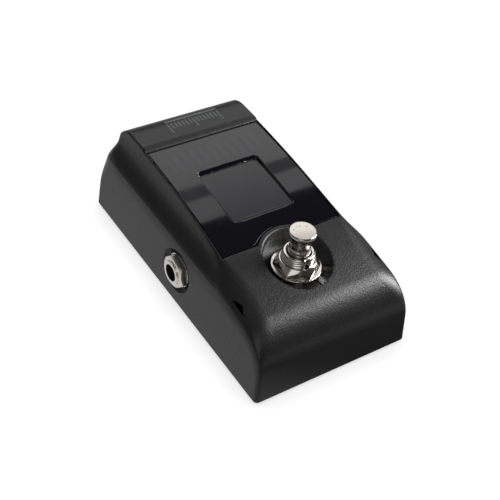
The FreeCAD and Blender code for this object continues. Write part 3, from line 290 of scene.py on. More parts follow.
def moulded_plastic(name, colour, roughness=0.5, grain_mm=0.3):
    """Moulded plastic with a fine matt texture and slightly polished edges."""
    finish = Finish(name)
    grain = finish.noise(grain_mm, 3.0)
    cloud = finish.noise(8.0, 2.0)
    edge = finish.worn_edge()
    darker = tuple(0.82 * part for part in colour) + (1,)
    lighter = tuple(min(1.0, 1.12 * part) for part in colour) + (1,)
    shade = finish.blend(cloud, darker, lighter)
    shade = finish.blend(edge * 0.3, shade, tuple(min(1.0, 1.6 * part + 0.01) for part in colour) + (1,))
    rough = grain * 0.14 + cloud * 0.05 - edge * 0.08 + (roughness - 0.09)
    return finish.surface(Base_Color=shade, Roughness=rough, Normal=finish.bump(grain, 0.02, 0.6))


def rubber(name):
    """Soft matt rubber with a little pale dust."""
    finish = Finish(name)
    grain = finish.noise(0.5, 4.0)
    dust = finish.ramp(finish.noise(6.0, 4.0), 0.5, 0.8)
    shade = finish.blend(dust * 0.4, grey(0.018), grey(0.05, 0.04))
    rough = grain * 0.2 + 0.68
    return finish.surface(Base_Color=shade, Roughness=rough, Normal=finish.bump(grain, 0.05, 0.7))


def circuit_board():
    """Green solder mask with paler tracks just under it."""
    finish = Finish("circuit_board_mask")
    tracks = finish.maths("PINGPONG", finish.axis("X") + finish.noise(6.0, 1.0) * 3.0, 0.8)
    track = finish.ramp(tracks, 0.42, 0.50)
    cloud = finish.noise(12.0, 2.0)
    shade = finish.blend(track * 0.5, (0.010, 0.085, 0.035, 1), (0.025, 0.16, 0.07, 1))
    rough = cloud * 0.1 + 0.25
    return finish.surface(Base_Color=shade, Roughness=rough, Normal=finish.bump(track, 0.03, 0.5))


def printed_mark():
    """Pale grey printing ink, a little broken where it lies on the pebbled coat."""
    finish = Finish("printed_mark_ink")
    gaps = finish.ramp(finish.noise(0.35, 3.0), 0.30, 0.62)
    shade = finish.blend(gaps, grey(0.05), grey(0.13, -0.04))
    return finish.surface(Base_Color=shade, Roughness=gaps * 0.2 + 0.4, Normal=finish.bump(gaps, 0.01, 0.5))


casing_coat = powder_coat("casing_powder_coat")
plate_paint = powder_coat("base_plate_paint", 0.016, 0.42, 0.3)
window_acrylic = smoked_acrylic()
nickel = bright_metal("bright_nickel_plate", (0.66, 0.62, 0.57), 0.15)
cap_nickel = bright_metal("cap_nickel_plate", (0.60, 0.56, 0.515), 0.19, pits=1.0)
jack_nickel = bright_metal("jack_nickel_plate", (0.90, 0.86, 0.81), 0.26)
bush_nickel = jack_bush_metal()
zinc = bright_metal("zinc_plate", (0.60, 0.61, 0.64), 0.32)
brass = bright_metal("contact_plate", (0.78, 0.66, 0.42), 0.26)
aluminium = bright_metal("can_aluminium", (0.75, 0.76, 0.78), 0.30)
black_steel = bright_metal("black_oxide_steel", (0.07, 0.07, 0.075), 0.38)
black_plastic = moulded_plastic("black_moulding", (0.022, 0.022, 0.024))
key_plastic = moulded_plastic("key_moulding", (0.055, 0.055, 0.06), 0.42)
blue_plastic = moulded_plastic("switch_box_moulding", (0.03, 0.09, 0.30), 0.42)
milky_plastic = moulded_plastic("diffuser_moulding", (0.82, 0.82, 0.79), 0.35)
lamp_plastic = moulded_plastic("lamp_lens", (0.72, 0.71, 0.64), 0.25)
chip_plastic = moulded_plastic("chip_package", (0.03, 0.03, 0.033), 0.55, 0.15)
battery_print = moulded_plastic("battery_wrap", (0.13, 0.14, 0.16), 0.30, 0.8)
wire_vinyl = moulded_plastic("wire_vinyl", (0.30, 0.022, 0.02), 0.40)
foam = rubber("closed_cell_foam")
foot_rubber = rubber("foot_rubber")
board_mask = circuit_board()
mark_ink = printed_mark()

SLOT_FINISHES = {
    "casing_black": casing_coat,
    "smoked_window": window_acrylic,
    "bright_nickel": nickel,
    "zinc_steel": zinc,
    "plated_brass": brass,
    "black_plastic": black_plastic,
    "blue_plastic": blue_plastic,
    "key_plastic": key_plastic,
    "milky_plastic": milky_plastic,
    "lamp_white": lamp_plastic,
    "circuit_board": board_mask,
    "chip_black": chip_plastic,
    "can_aluminium": aluminium,
    "painted_steel": plate_paint,
    "black_screw": black_steel,
    "rubber_black": foot_rubber,
    "foam_tape": foam,
    "battery_case": battery_print,
    "wire_cover": wire_vinyl,
}

# how far the edges of a node are eased, in millimetres
EDGE_WIDTHS = {
    "base_plate": 0.15,
    "battery_lid": 0.25,
    "footswitch_washer": 0.22,
    "output_jack_washer": 0.1,
    "input_jack_washer": 0.1,
    "dc_out_jack": 0.25,
    "dc_in_jack": 0.25,
    "display_key": 0.2,
    "calibration_key": 0.2,
    "rubber_feet": 0.3,
    "base_plate_screws": 0.15,
}


def finish_nodes():
    """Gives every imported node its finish, and eases the edges of the ones in view."""
    for row in frame["record"]["subparts"]:
        node = nodes[row["node"]]
        node.data.materials.clear()
        node.data.materials.append(SLOT_FINISHES[row["material_slot"]])
    for name in ("output_jack_bush", "input_jack_bush"):
        nodes[name].data.materials[0] = bush_nickel
    for name, width in EDGE_WIDTHS.items():
        ease_edges(nodes[name], width)


def ease_edges(node, width_mm):
    """Joins a node's split facets, then rounds its edges a little."""
    weld = node.modifiers.new("join_facets", "WELD")
    weld.merge_threshold = 0.002 * MM
    flat = node.modifiers.new("clear_flats", "DECIMATE")
    flat.decimate_type = "DISSOLVE"
    flat.angle_limit = math.radians(0.3)
    bevel = node.modifiers.new("ease_edges", "BEVEL")
    bevel.width = width_mm * MM
    bevel.segments = 3
    bevel.limit_method = "ANGLE"
    bevel.angle_limit = math.radians(24)
    bevel.harden_normals = True
    node.data.shade_smooth()


# ---------------------------------------------------------------- pieces made here

def piece(name, mesh, finish, body="pedal", replaces=()):
    """Puts a mesh in the scene with its finish, and says what it rides on and what it stands in for."""
    made = bpy.data.objects.new(name, mesh)
    bpy.context.scene.collection.objects.link(made)
    mesh.materials.append(finish)
    mesh.shade_smooth()
    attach(made, body)
    if replaces:
        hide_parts(*replaces)
    return made


def mesh_from(name, points_mm, faces):
    """A mesh from points in millimetres and the faces between them."""
    mesh = bpy.data.meshes.new(name)
    mesh.from_pydata([tuple(part * MM for part in point) for point in points_mm], [], faces)
    mesh.update()
    return mesh


def spaced(low, high, step, dense=(), reach=1.0, fine=0.12):
    """Places from low to high, step apart, and finer near each dense place."""
    found = [low]
    while found[-1] < high - 1e-6:
        near = any(abs(found[-1] - place) < reach for place in dense)
        found.append(found[-1] + (fine if near else step))
    found[-1] = high
    return found


def window_front_edge(across):
    """Front edge of the window, which bends round the footswitch's collar."""
    inside = NOTCH_RADIUS * NOTCH_RADIUS - across * across
    arc = SWITCH_PLACE + math.sqrt(inside) if inside > 0 else SWITCH_PLACE
    gap = arc - WINDOW_FRONT
    return WINDOW_FRONT + (gap + math.sqrt(gap * gap + NOTCH_BLEND * NOTCH_BLEND)) / 2


def panel_depth(across, along):
    """Depth of the sunk panel: deepest at its rear, with soft walls and rounded corners."""
    over_x = abs(across) - (PANEL_HALF - PANEL_CORNER)
    over_y = abs(along - PANEL_MIDDLE) - (PANEL_HALF - PANEL_CORNER)
    outside = math.hypot(max(over_x, 0), max(over_y, 0)) + min(max(over_x, over_y), 0) - PANEL_CORNER
    rearward = (along - PANEL_MIDDLE + PANEL_HALF) / (2 * PANEL_HALF)
    depth = PANEL_FRONT_DEPTH + (PANEL_REAR_DEPTH - PANEL_FRONT_DEPTH) * min(max(rearward, 0), 1)
    return depth * ease(-outside / PANEL_WALL)


def display_window():
    """Smoked sheet that follows the crowned deck, with its sunk panel and its notch round the collar."""
    columns = spaced(-1.0, 1.0, 0.011, (-PANEL_HALF / 24.5, PANEL_HALF / 24.5), 0.05, 0.0045)
    edges = (PANEL_MIDDLE - PANEL_HALF, PANEL_MIDDLE + PANEL_HALF)
    rows = spaced(0.0, 1.0, 0.009, [(edge - WINDOW_FRONT) / (WINDOW_REAR - WINDOW_FRONT) for edge in edges],
                  0.03, 0.003)
    width = len(columns)
    top = []
    for up_share in rows:
        for across_share in columns:
            front_x = WINDOW_FRONT_HALF * across_share
            front_y = window_front_edge(front_x)
            along = front_y + (WINDOW_REAR - front_y) * up_share
            half = WINDOW_FRONT_HALF + (WINDOW_REAR_HALF - WINDOW_FRONT_HALF) * (along - WINDOW_FRONT) / (
                WINDOW_REAR - WINDOW_FRONT)
            across = half * across_share
            top.append((across, along, deck_height(along, WINDOW_SINK) - panel_depth(across, along)))
    under = [(across, along, deck_height(along, WINDOW_SINK + WINDOW_THICK)) for across, along, high in top]
    faces = []
    below = len(top)
    for row in range(len(rows) - 1):
        for column in range(width - 1):
            corner = row * width + column
            faces.append((corner, corner + 1, corner + width + 1, corner + width))
            lower = below + corner
            faces.append((lower + width, lower + width + 1, lower + 1, lower))
    last = (len(rows) - 1) * width
    rim = list(range(width)) + [row * width + width - 1 for row in range(1, len(rows))]
    rim += list(range(last + width - 2, last - 1, -1)) + [row * width for row in range(len(rows) - 2, 0, -1)]
    for index, start in enumerate(rim):
        end = rim[(index + 1) % len(rim)]
        faces.append((end, start, below + start, below + end))
    sheet = mesh_from("display_window_sheet", top + under, faces)
    made = piece("display_window_sheet", sheet, window_acrylic, replaces=["display_window"])
    bevel = made.modifiers.new("ease_edges", "BEVEL")
    bevel.width = 0.18 * MM
    bevel.segments = 2
    bevel.limit_method = "ANGLE"
    bevel.angle_limit = math.radians(62)
    return made


# ---------------------------------------------------------------- casing

SIDE_DRAFT = math.radians(2.1)
FRONT_DRAFT = math.radians(7.0)
REAR_DRAFT = math.radians(2.6)
HALF_WIDTH = 33.0
HALF_LENGTH = 58.5
CREASE = (32.07, 25.3)          # half width and height where the side wall ends
RIDGE = (25.3, 38.1)            # half width and height of the rear strip
LEDGE_END = 37.5                # rear edge of the narrow ledge behind the window
STEP_WIDTH = 0.35
FRONT_ROUND = 17.0
REAR_ROUND = 9.6
DECK_MIDDLE = DECK_TOP_HEIGHT - LIFT - DECK_RADIUS
SEAT_GAP = 0.5
COLLAR_RADIUS = 14.4
SINK_RADIUS = 8.5
SKIN_STEP = 1.3
OUTSET = 1.0
NEAR_OUTSIDE = -0.4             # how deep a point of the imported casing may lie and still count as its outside

# how the skin's corners soften: the shoulder's hollow and rounds, at the rear and further ahead
SOFTENS_FROM = -14.0
SOFTENS_OVER = 24.0
HOLLOW_DEPTH = 2.0
HOLLOW_LOSS_AHEAD = 1.6
RIDGE_ROUND = 1.1
RIDGE_ROUND_AHEAD = 6.0
RIDGE_ROUND_REAR = 4.5
CREASE_ROUND = 1.9
CREASE_ROUND_REAR = 2.6
CORNER_FROM = 47.0              # place along the casing from which its rear corners soften
CORNER_OVER = 9.0
CORNER_TOP = 35.0
CORNER_TOP_OVER = 6.0
CORNER_FOOT = 10.0
CORNER_FOOT_OVER = 14.0
PIT_RIM = 0.55
SEAT_RIM = 0.3
JACK_RIM = 0.45

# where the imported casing's points lie on its outside: shoulders, their steep upper ends and the rear bend
OUTSIDE_FOOT = 24.5
SHOULDER_INNER = 26.5
SHOULDER_OUT = (0.817, 0.576)
SHOULDER_DEPTH = -1.1
STEEP_PLACE = (27.0, 32.5)
STEEP_OUT = (0.957, 0.2905)
FRONT_FOOT = 10.0
FRONT_REACH = 6.0
REAR_BEND_INSET = 7.65
REAR_BEND_HEIGHT = 30.1
REAR_BEND_FOOT = 29.5
REAR_BEND_RADIUS = 7.6

UNDERSIDE = -0.9                # points lower than this lie on the skin's flat foot
SAME_WAY = 0.992                # cosine of the turn between two points that needs no finer mesh


def soft_most(first, second, width):
    """The greater of two distances, with the corner between them rounded off over a width."""
    lap = np.maximum(width - np.abs(first - second), 0) / width
    return np.maximum(first, second) + width * lap * lap / 4


def eased(share):
    share = np.clip(share, 0, 1)
    return share * share * (3 - 2 * share)


def front_round_centre():
    """Centre of the front round, which touches both the front face and the deck."""
    foot = Vector((-HALF_LENGTH, 0))
    up_face = Vector((math.sin(FRONT_DRAFT), math.cos(FRONT_DRAFT)))
    inward = Vector((math.cos(FRONT_DRAFT), -math.sin(FRONT_DRAFT)))
    deck_centre = Vector((DECK_TOP_PLACE, DECK_MIDDLE))
    start = foot + inward * FRONT_ROUND - deck_centre
    along = start.dot(up_face)
    rise = -along + math.sqrt(along * along - start.dot(start) + (DECK_RADIUS - FRONT_ROUND) ** 2)
    centre = deck_centre + start + up_face * rise
    lean = (centre - deck_centre).normalized()
    return centre, math.atan2(lean.y, lean.x), math.pi - FRONT_DRAFT


FRONT_CENTRE, DECK_TURN, FACE_TURN = front_round_centre()


def rim(form, gap, radius):
    """Rounds the form's edge where it ends at a hole; gap is the distance outside the hole."""
    lift = np.maximum(radius + form, 0)
    near = np.maximum(radius - np.maximum(gap, 0), 0)
    return np.where((lift > 0) & (near > 0), np.hypot(lift, near) - radius, form)


def casing_form(points):
    """Signed distance, near enough, from the casing's outer skin. Negative inside. Millimetres."""
    x, y, w = np.abs(points[:, 0]), points[:, 1], points[:, 2]
    side = (x - HALF_WIDTH + w * math.tan(SIDE_DRAFT)) * math.cos(SIDE_DRAFT)
    rise = Vector((RIDGE[0] - CREASE[0], RIDGE[1] - CREASE[1]))
    slope = rise.length
    along = ((x - CREASE[0]) * rise.x + (w - CREASE[1]) * rise.y) / slope
    out = ((x - CREASE[0]) * rise.y - (w - CREASE[1]) * rise.x) / slope
    ahead = eased((SOFTENS_FROM - y) / SOFTENS_OVER)
    hollow = (HOLLOW_DEPTH - HOLLOW_LOSS_AHEAD * ahead) * np.sin(math.pi * np.clip(along / slope, 0, 1))
    shoulder = out + hollow
    deck = np.hypot(y - DECK_TOP_PLACE, w - DECK_MIDDLE) - DECK_RADIUS
    top = deck + (w - RIDGE[1] - deck) * eased((y - LEDGE_END) / STEP_WIDTH)
    rear = (y - HALF_LENGTH + w * math.tan(REAR_DRAFT)) * math.cos(REAR_DRAFT)
    over, behind = np.maximum(top + REAR_ROUND, 0), np.maximum(rear + REAR_ROUND, 0)
    profile = np.minimum(-REAR_ROUND, np.maximum(top, rear)) + np.hypot(over, behind)
    face = -(y + HALF_LENGTH) * math.cos(FRONT_DRAFT) + w * math.sin(FRONT_DRAFT)
    turn = np.arctan2(w - FRONT_CENTRE.y, y - FRONT_CENTRE.x)
    in_round = (turn > DECK_TURN) & (turn < FACE_TURN)
    round_skin = np.hypot(y - FRONT_CENTRE.x, w - FRONT_CENTRE.y) - FRONT_ROUND
    profile = np.where(in_round, round_skin, np.maximum(profile, face))
    rearward = eased((y - CORNER_FROM) / CORNER_OVER)
    rear_low = rearward * eased((CORNER_TOP - w) / CORNER_TOP_OVER)
    form = soft_most(shoulder, profile, RIDGE_ROUND + RIDGE_ROUND_AHEAD * ahead + RIDGE_ROUND_REAR * rear_low)
    corner = rearward * eased((w - CORNER_FOOT) / CORNER_FOOT_OVER)
    form = soft_most(form, side, CREASE_ROUND + CREASE_ROUND_REAR * corner)
    pit = np.hypot(x, y - SWITCH_PLACE)
    form = rim(form, pit - PIT_RADIUS, PIT_RIM)
    half = WINDOW_FRONT_HALF + (WINDOW_REAR_HALF - WINDOW_FRONT_HALF) * (y - WINDOW_FRONT) / (
        WINDOW_REAR - WINDOW_FRONT)
    seat = np.maximum(np.maximum(x - half, WINDOW_FRONT - y), y - WINDOW_REAR) - SEAT_GAP
    seat = np.maximum(seat, COLLAR_RADIUS - pit)
    form = rim(form, seat, SEAT_RIM)
    for way, place in JACK_PLACES.items():
        sink = np.hypot(y - place, w - JACK_HEIGHT) - SINK_RADIUS
        form = np.where(points[:, 0] * way > 0, rim(form, sink, JACK_RIM), form)
    return form


def form_slope(points):
    """Outward direction of the casing's skin."""
    step = 0.02
    parts = []
    for axis in range(3):
        ahead = points.copy()
        behind = points.copy()
        ahead[:, axis] += step
        behind[:, axis] -= step
        parts.append(casing_form(ahead) - casing_form(behind))
    slope = np.stack(parts, axis=1)
    return slope / np.maximum(np.linalg.norm(slope, axis=1, keepdims=True), 1e-9)


def onto_skin(outer, inner):
    """Where the line from each outer point to its inner point meets the skin."""
    low, high = np.zeros(len(outer)), np.ones(len(outer))
    for _ in range(26):
        middle = (low + high) / 2
        outside = casing_form(outer + (inner - outer) * middle[:, None]) > 0
        low, high = np.where(outside, middle, low), np.where(outside, high, middle)
    return outer + (inner - outer) * high[:, None]


CAGE_LOW = np.array((-36.0, -62.0, -1.0))
CAGE_HIGH = np.array((36.0, 62.0, 42.0))
CORE_LOW = np.array((-19.0, -40.0, -1.0))
CORE_HIGH = np.array((19.0, 42.0, 12.0))


def casing_skin():
    """The casing's whole outside as one closed mesh, finer where it bends."""
    skin = bmesh.new()
    size = CAGE_HIGH - CAGE_LOW
    bmesh.ops.create_cube(skin, size=1.0)
    for vertex in skin.verts:
        vertex.co = Vector(CAGE_LOW + size * (np.array(vertex.co) + 0.5))
    for axis in range(3):
        edges = [edge for edge in skin.edges
                 if abs(edge.verts[0].co[axis] - edge.verts[1].co[axis]) > size[axis] * 0.9]
        bmesh.ops.subdivide_edges(skin, edges=edges, cuts=int(size[axis] / SKIN_STEP), use_grid_fill=True)
    outer = np.array([vertex.co for vertex in skin.verts])
    inner = np.clip(outer, CORE_LOW, CORE_HIGH)
    met = onto_skin(outer, inner)
    for vertex, place in zip(skin.verts, met):
        vertex.co = place
    for reach in (0.55, 0.28, 0.14):
        refine(skin, reach)
    bmesh.ops.triangulate(skin, faces=skin.faces)
    mesh = bpy.data.meshes.new("casing_skin")
    for vertex in skin.verts:
        vertex.co = Vector((vertex.co.x, vertex.co.y, vertex.co.z + LIFT)) * MM
    skin.to_mesh(mesh)
    skin.free()
    return mesh


def refine(skin, shortest):
    """Splits the edges along which the skin turns, and lays the new points on the skin."""
    skin.verts.ensure_lookup_table()
    places = np.array([vertex.co for vertex in skin.verts])
    slopes = form_slope(places)
    for index, vertex in enumerate(skin.verts):
        vertex.index = index
    edges = []
    for edge in skin.edges:
        first, second = edge.verts[0].index, edge.verts[1].index
        if places[first][2] < UNDERSIDE and places[second][2] < UNDERSIDE:
            continue
        if edge.calc_length() > shortest and slopes[first].dot(slopes[second]) < SAME_WAY:
            edges.append(edge)
    made = bmesh.ops.subdivide_edges(skin, edges=edges, cuts=1, use_grid_fill=True)
    fresh = [part for part in made["geom_inner"] if isinstance(part, bmesh.types.BMVert)]
    places = np.array([vertex.co for vertex in fresh])
    for _ in range(3):
        slopes = form_slope(places)
        slopes[places[:, 2] < UNDERSIDE, 2] = 0
        places = places - slopes * np.clip(casing_form(places), -0.4, 0.4)[:, None]
    for vertex, place in zip(fresh, places):
        vertex.co = place


def casing_inside():
    """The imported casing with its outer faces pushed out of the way, so that its holes and hollow are left."""
    inside = bmesh.new()
    inside.from_mesh(nodes["upper_casing"].data)
    bmesh.ops.remove_doubles(inside, verts=inside.verts, dist=1e-6)
    places = np.array([vertex.co for vertex in inside.verts]) / MM
    places[:, 2] -= LIFT
    x, y, w = np.abs(places[:, 0]), places[:, 1], places[:, 2]
    side = (x - HALF_WIDTH + w * math.tan(SIDE_DRAFT)) > NEAR_OUTSIDE
    rear = (y - HALF_LENGTH + w * math.tan(REAR_DRAFT)) > NEAR_OUTSIDE
    face = -(y + HALF_LENGTH) * math.cos(FRONT_DRAFT) + w * math.sin(FRONT_DRAFT) > NEAR_OUTSIDE
    deck = np.hypot(y - DECK_TOP_PLACE, w - DECK_MIDDLE) - DECK_RADIUS > NEAR_OUTSIDE
    over = w > OUTSIDE_FOOT
    bent = np.hypot(y - FRONT_CENTRE.x, w - FRONT_CENTRE.y) - FRONT_ROUND
    front = (y < FRONT_CENTRE.x + FRONT_REACH) & (bent > NEAR_OUTSIDE) & (w > FRONT_FOOT)
    chord = (x - CREASE[0]) * SHOULDER_OUT[0] + (w - CREASE[1]) * SHOULDER_OUT[1]
    shoulder = over & (chord > SHOULDER_DEPTH) & (x > SHOULDER_INNER)
    steep = (x - STEEP_PLACE[0]) * STEEP_OUT[0] + (w - STEEP_PLACE[1]) * STEEP_OUT[1] > NEAR_OUTSIDE
    bend_centre = HALF_LENGTH - RIDGE[1] * math.tan(REAR_DRAFT) - REAR_BEND_INSET
    from_bend = np.hypot(y - bend_centre, w - REAR_BEND_HEIGHT)
    rear_bend = (w > REAR_BEND_FOOT) & (from_bend > REAR_BEND_RADIUS) & (y > bend_centre)
    up = deck | front | shoulder | (steep & over) | (rear_bend & over)
    places[:, 2] += np.where(up, OUTSET, 0)
    places[:, 0] += np.where(side | shoulder | (steep & over), OUTSET, 0) * np.sign(places[:, 0])
    places[:, 1] += np.where(rear | rear_bend, OUTSET, 0) - np.where(face | front, OUTSET, 0)
    places[:, 2] += LIFT
    for vertex, place in zip(inside.verts, places * MM):
        vertex.co = place
    mesh = bpy.data.meshes.new("casing_inside")
    inside.to_mesh(mesh)
    inside.free()
    return mesh


def casing_shell():
    """The casing: its smooth outer skin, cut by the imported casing's own holes, seats and hollow."""
    skin = bpy.data.objects.new("casing_skin", casing_skin())
    inside = bpy.data.objects.new("casing_inside", casing_inside())
    for made in (skin, inside):
        bpy.context.scene.collection.objects.link(made)
    trim = skin.modifiers.new("trim", "BOOLEAN")
    trim.operation = "INTERSECT"
    trim.solver = "MANIFOLD"
    trim.object = inside
    bpy.context.view_layer.update()
    mesh = bpy.data.meshes.new_from_object(skin.evaluated_get(bpy.context.evaluated_depsgraph_get()))
    mesh.name = "casing_shell"
    for made in (skin, inside):
        bpy.data.objects.remove(made)
    mesh.materials.clear()
    shell = piece("casing_shell", mesh, casing_coat, replaces=["upper_casing"])
    mesh.set_sharp_from_angle(angle=math.radians(34))
    return shell


def rounded(profile, radius, steps=5):
    """A turned piece's outline with each corner given a small round."""
    softened = [profile[0]]
    for before, corner, after in zip(profile, profile[1:], profile[2:]):
        before, corner, after = Vector(before), Vector(corner), Vector(after)
        reach = min(radius, (before - corner).length * 0.45, (after - corner).length * 0.45)
        first = corner + (before - corner).normalized() * reach
        last = corner + (after - corner).normalized() * reach
        for step in range(steps + 1):
            share = step / steps
            point = first * (1 - share) ** 2 + corner * 2 * share * (1 - share) + last * share ** 2
            softened.append(tuple(point))
    softened.append(profile[-1])
    return softened


def lathe(name, profile, centre, turns=96):
    """Turns an outline of (radius, height) points about a vertical axis. Both ends lie on the axis."""
    points = []
    for radius, high in profile[1:-1]:
        for turn in range(turns):
            angle = 2 * math.pi * turn / turns
            points.append((centre[0] + radius * math.cos(angle), centre[1] + radius * math.sin(angle), high))
    faces = []
    rings = len(profile) - 2
    for ring in range(rings - 1):
        for turn in range(turns):
            after = (turn + 1) % turns
            faces.append((ring * turns + turn, ring * turns + after, (ring + 1) * turns + after,
                          (ring + 1) * turns + turn))
    foot = len(points)
    points.append((centre[0], centre[1], profile[0][1]))
    points.append((centre[0], centre[1], profile[-1][1]))
    for turn in range(turns):
        after = (turn + 1) % turns
        faces.append((foot, after, turn))
        faces.append((foot + 1, (rings - 1) * turns + turn, (rings - 1) * turns + after))
    return mesh_from(name, points, faces)


CAP_HEIGHT = 6.3
PLUNGER_RADIUS = 4.1
COLLAR_STOP_RADIUS = 5.2
TAIL_RADIUS = 2.8
WAIST_RADIUS = 3.75
FLARE_RADIUS = 3.8
FLARE_WIDTH = 1.2
FLARE_HEIGHT = 3.9
FLARE_STEPS = 12


def footswitch_button():
    """Polished cap that flares to a flat top, with its plunger and stop collar."""
    low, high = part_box("footswitch_button")
    bottom = low.z / MM
    top = high.z / MM
    waist = top - CAP_HEIGHT
    plain = [(0, bottom), (TAIL_RADIUS, bottom), (TAIL_RADIUS, bottom + 2.0),
             (COLLAR_STOP_RADIUS, bottom + 2.0), (COLLAR_STOP_RADIUS, bottom + 3.6),
             (PLUNGER_RADIUS, bottom + 3.6), (PLUNGER_RADIUS, waist - 1.4),
             (WAIST_RADIUS, waist - 0.9), (WAIST_RADIUS, waist + 0.7)]
    flare = []
    for step in range(1, FLARE_STEPS + 1):
        share = step / FLARE_STEPS
        flare.append((FLARE_RADIUS + FLARE_WIDTH * share ** 0.8, waist + 0.9 + FLARE_HEIGHT * share))
    crown = [(5.08, top - 0.75), (4.72, top - 0.06)]
    head = rounded([flare[-1]] + crown + [(0, top)], 0.3)[1:]
    button = lathe("footswitch_cap", rounded(plain, 0.2, 3) + flare + head, (0, SWITCH_PLACE))
    return piece("footswitch_cap", button, cap_nickel, "foot_button", ["footswitch_button"])


def chamfered_nut(name, replaced, finish, flats, bore, face_radius, slope, corner_turn, axis_turn, place):
    """Hexagon nut whose outer corners are turned down to a cone, as a bright nut's are."""
    low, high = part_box(replaced)
    size = (high - low) / MM
    tall = size.x if axis_turn else size.z
    turns = 144
    corner = flats / math.sqrt(3)
    rings = []
    for turn in range(turns):
        angle = 2 * math.pi * turn / turns
        within = (angle - corner_turn) % (math.pi / 3) - math.pi / 6
        edge = min(flats / 2 / math.cos(within), corner - 0.12)
        drop = max((edge - face_radius) * slope, 0.05)
        outline = [(bore, 0), (bore, tall - 0.25), (bore + 0.25, tall), (face_radius - 0.15, tall),
                   (face_radius + 0.1, tall - 0.1 * slope * 0.7)]
        for step in range(1, 6):
            share = step / 5
            outline.append((face_radius + 0.1 + (edge - face_radius - 0.1) * share,
                            tall - (0.07 + (drop - 0.07) * share) + 0.04 * math.sin(math.pi * share)))
        outline += [(edge + 0.02, tall - drop - 0.12), (edge + 0.02, 0.25), (edge - 0.15, 0)]
        rings.append([(radius * math.cos(angle), radius * math.sin(angle), up) for radius, up in outline])
    count = len(rings[0])
    points = [point for ring in rings for point in ring]
    faces = []
    for turn in range(turns):
        here = turn * count
        there = (turn + 1) % turns * count
        for step in range(count):
            follow = (step + 1) % count
            faces.append((here + step, there + step, there + follow, here + follow))
    if axis_turn:
        points = [(place[0] + axis_turn * up, place[1] - axis_turn * across, place[2] + along)
                  for across, along, up in points]
    else:
        points = [(place[0] + across, place[1] + along, place[2] + up) for across, along, up in points]
    made = piece(name, mesh_from(name, points, faces), finish, replaces=[replaced])
    made.data.set_sharp_from_angle(angle=math.radians(28))
    return made


def nuts():
    """The three bright nuts in view: the footswitch's and one on each audio jack."""
    low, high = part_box("footswitch_nut")
    chamfered_nut("footswitch_hexagon_nut", "footswitch_nut", nickel, flats=15.0, bore=6.05, face_radius=6.5,
                  slope=1.15, corner_turn=math.pi / 2, axis_turn=0, place=(0, SWITCH_PLACE, low.z / MM))
    for side, side_name in ((-1, "output"), (1, "input")):
        low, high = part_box(side_name + "_jack_nut")
        inner = (high.x if side < 0 else low.x) / MM
        chamfered_nut(side_name + "_jack_hexagon_nut", side_name + "_jack_nut", jack_nickel, flats=12.0,
                      bore=4.52, face_radius=5.6, slope=0.75, corner_turn=0.25, axis_turn=side,
                      place=(inner, JACK_PLACES[side], JACK_HEIGHT + LIFT))


THREAD_PITCH = 1.1
THREAD_DEPTH = 0.42
SLOT_HALF_WIDTH = 0.8
SLOT_FLOOR = 5.0


def footswitch_bushing():
    """Bushing with a real helical thread and a key slot down its front."""
    low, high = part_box("footswitch_bushing")
    bottom, top = low.z / MM, high.z / MM
    outer, bore, tail = 6.0, 4.46, 5.0
    turns = 144
    steps_up = 12
    thread_low, thread_high = bottom + 1.5, top - 0.55
    heights = [thread_low + index * THREAD_PITCH / steps_up
               for index in range(int((thread_high - thread_low) / THREAD_PITCH * steps_up))]
    rings = [(bore, bottom, False), (tail, bottom, False), (tail, bottom + 1.4, False),
             (outer - THREAD_DEPTH, bottom + 1.4, False)]
    rings += [(outer, high_place, True) for high_place in heights]
    rings += [(outer - 0.18, top - 0.42, False), (outer - 0.45, top - 0.12, False),
              (outer - 0.62, top, False), (bore + 0.35, top, False),
              (bore + 0.08, top - 0.12, False), (bore, top - 0.35, False)]
    slot_low = top - 6.4
    points = []
    for radius, high_place, threaded in rings:
        for turn in range(turns):
            angle = 2 * math.pi * turn / turns
            here = radius
            if threaded:
                phase = ((high_place - bottom) / THREAD_PITCH - turn / turns) % 1.0
                here -= THREAD_DEPTH * (0.5 + 0.5 * math.cos(2 * math.pi * phase)) ** 1.4
            sideways = here * math.cos(angle)
            if high_place > slot_low and math.sin(angle) < 0 and abs(sideways) < SLOT_HALF_WIDTH:
                here = min(here, SLOT_FLOOR)
            points.append((here * math.cos(angle), SWITCH_PLACE + here * math.sin(angle), high_place))
    faces = []
    count = len(rings)
    for ring in range(count):
        after_ring = (ring + 1) % count
        for turn in range(turns):
            after = (turn + 1) % turns
            faces.append((ring * turns + turn, ring * turns + after, after_ring * turns + after,
                          after_ring * turns + turn))
    name = "footswitch_threaded_bushing"
    mesh = mesh_from(name, points, faces)
    return piece(name, mesh, nickel, replaces=["footswitch_bushing"])


def scale_mark():
    """A plain tick scale printed on the rear strip: a bar above a row of ticks."""
    made = bmesh.new()
    left, right, front, rear = -10.0, 13.0, 42.0, 49.4
    floor = STRIP_HEIGHT - 0.02
    top = STRIP_HEIGHT + 0.03
    ticks = 15
    strokes = [((left, rear - 1.0), (right, rear))]
    for index in range(ticks):
        x = left + 0.45 + (right - left - 0.9) * index / (ticks - 1)
        long_tick = index % 7 == 0
        strokes.append(((x - 0.32, front if long_tick else front + 2.4), (x + 0.32, rear - 1.7)))
    for (x_low, y_low), (x_high, y_high) in strokes:
        corners = [(x_low, y_low), (x_high, y_low), (x_high, y_high), (x_low, y_high)]
        lower = [made.verts.new((x * MM, y * MM, floor * MM)) for x, y in corners]
        upper = [made.verts.new((x * MM, y * MM, top * MM)) for x, y in corners]
        made.faces.new(upper)
        made.faces.new(list(reversed(lower)))
        for index in range(4):
            after = (index + 1) % 4
            made.faces.new((lower[index], lower[after], upper[after], upper[index]))
    mesh = bpy.data.meshes.new("strip_scale_mark")
    made.to_mesh(mesh)
    made.free()
    made_piece = piece("strip_scale_mark", mesh, mark_ink)
    mesh.shade_flat()
    return made_piece


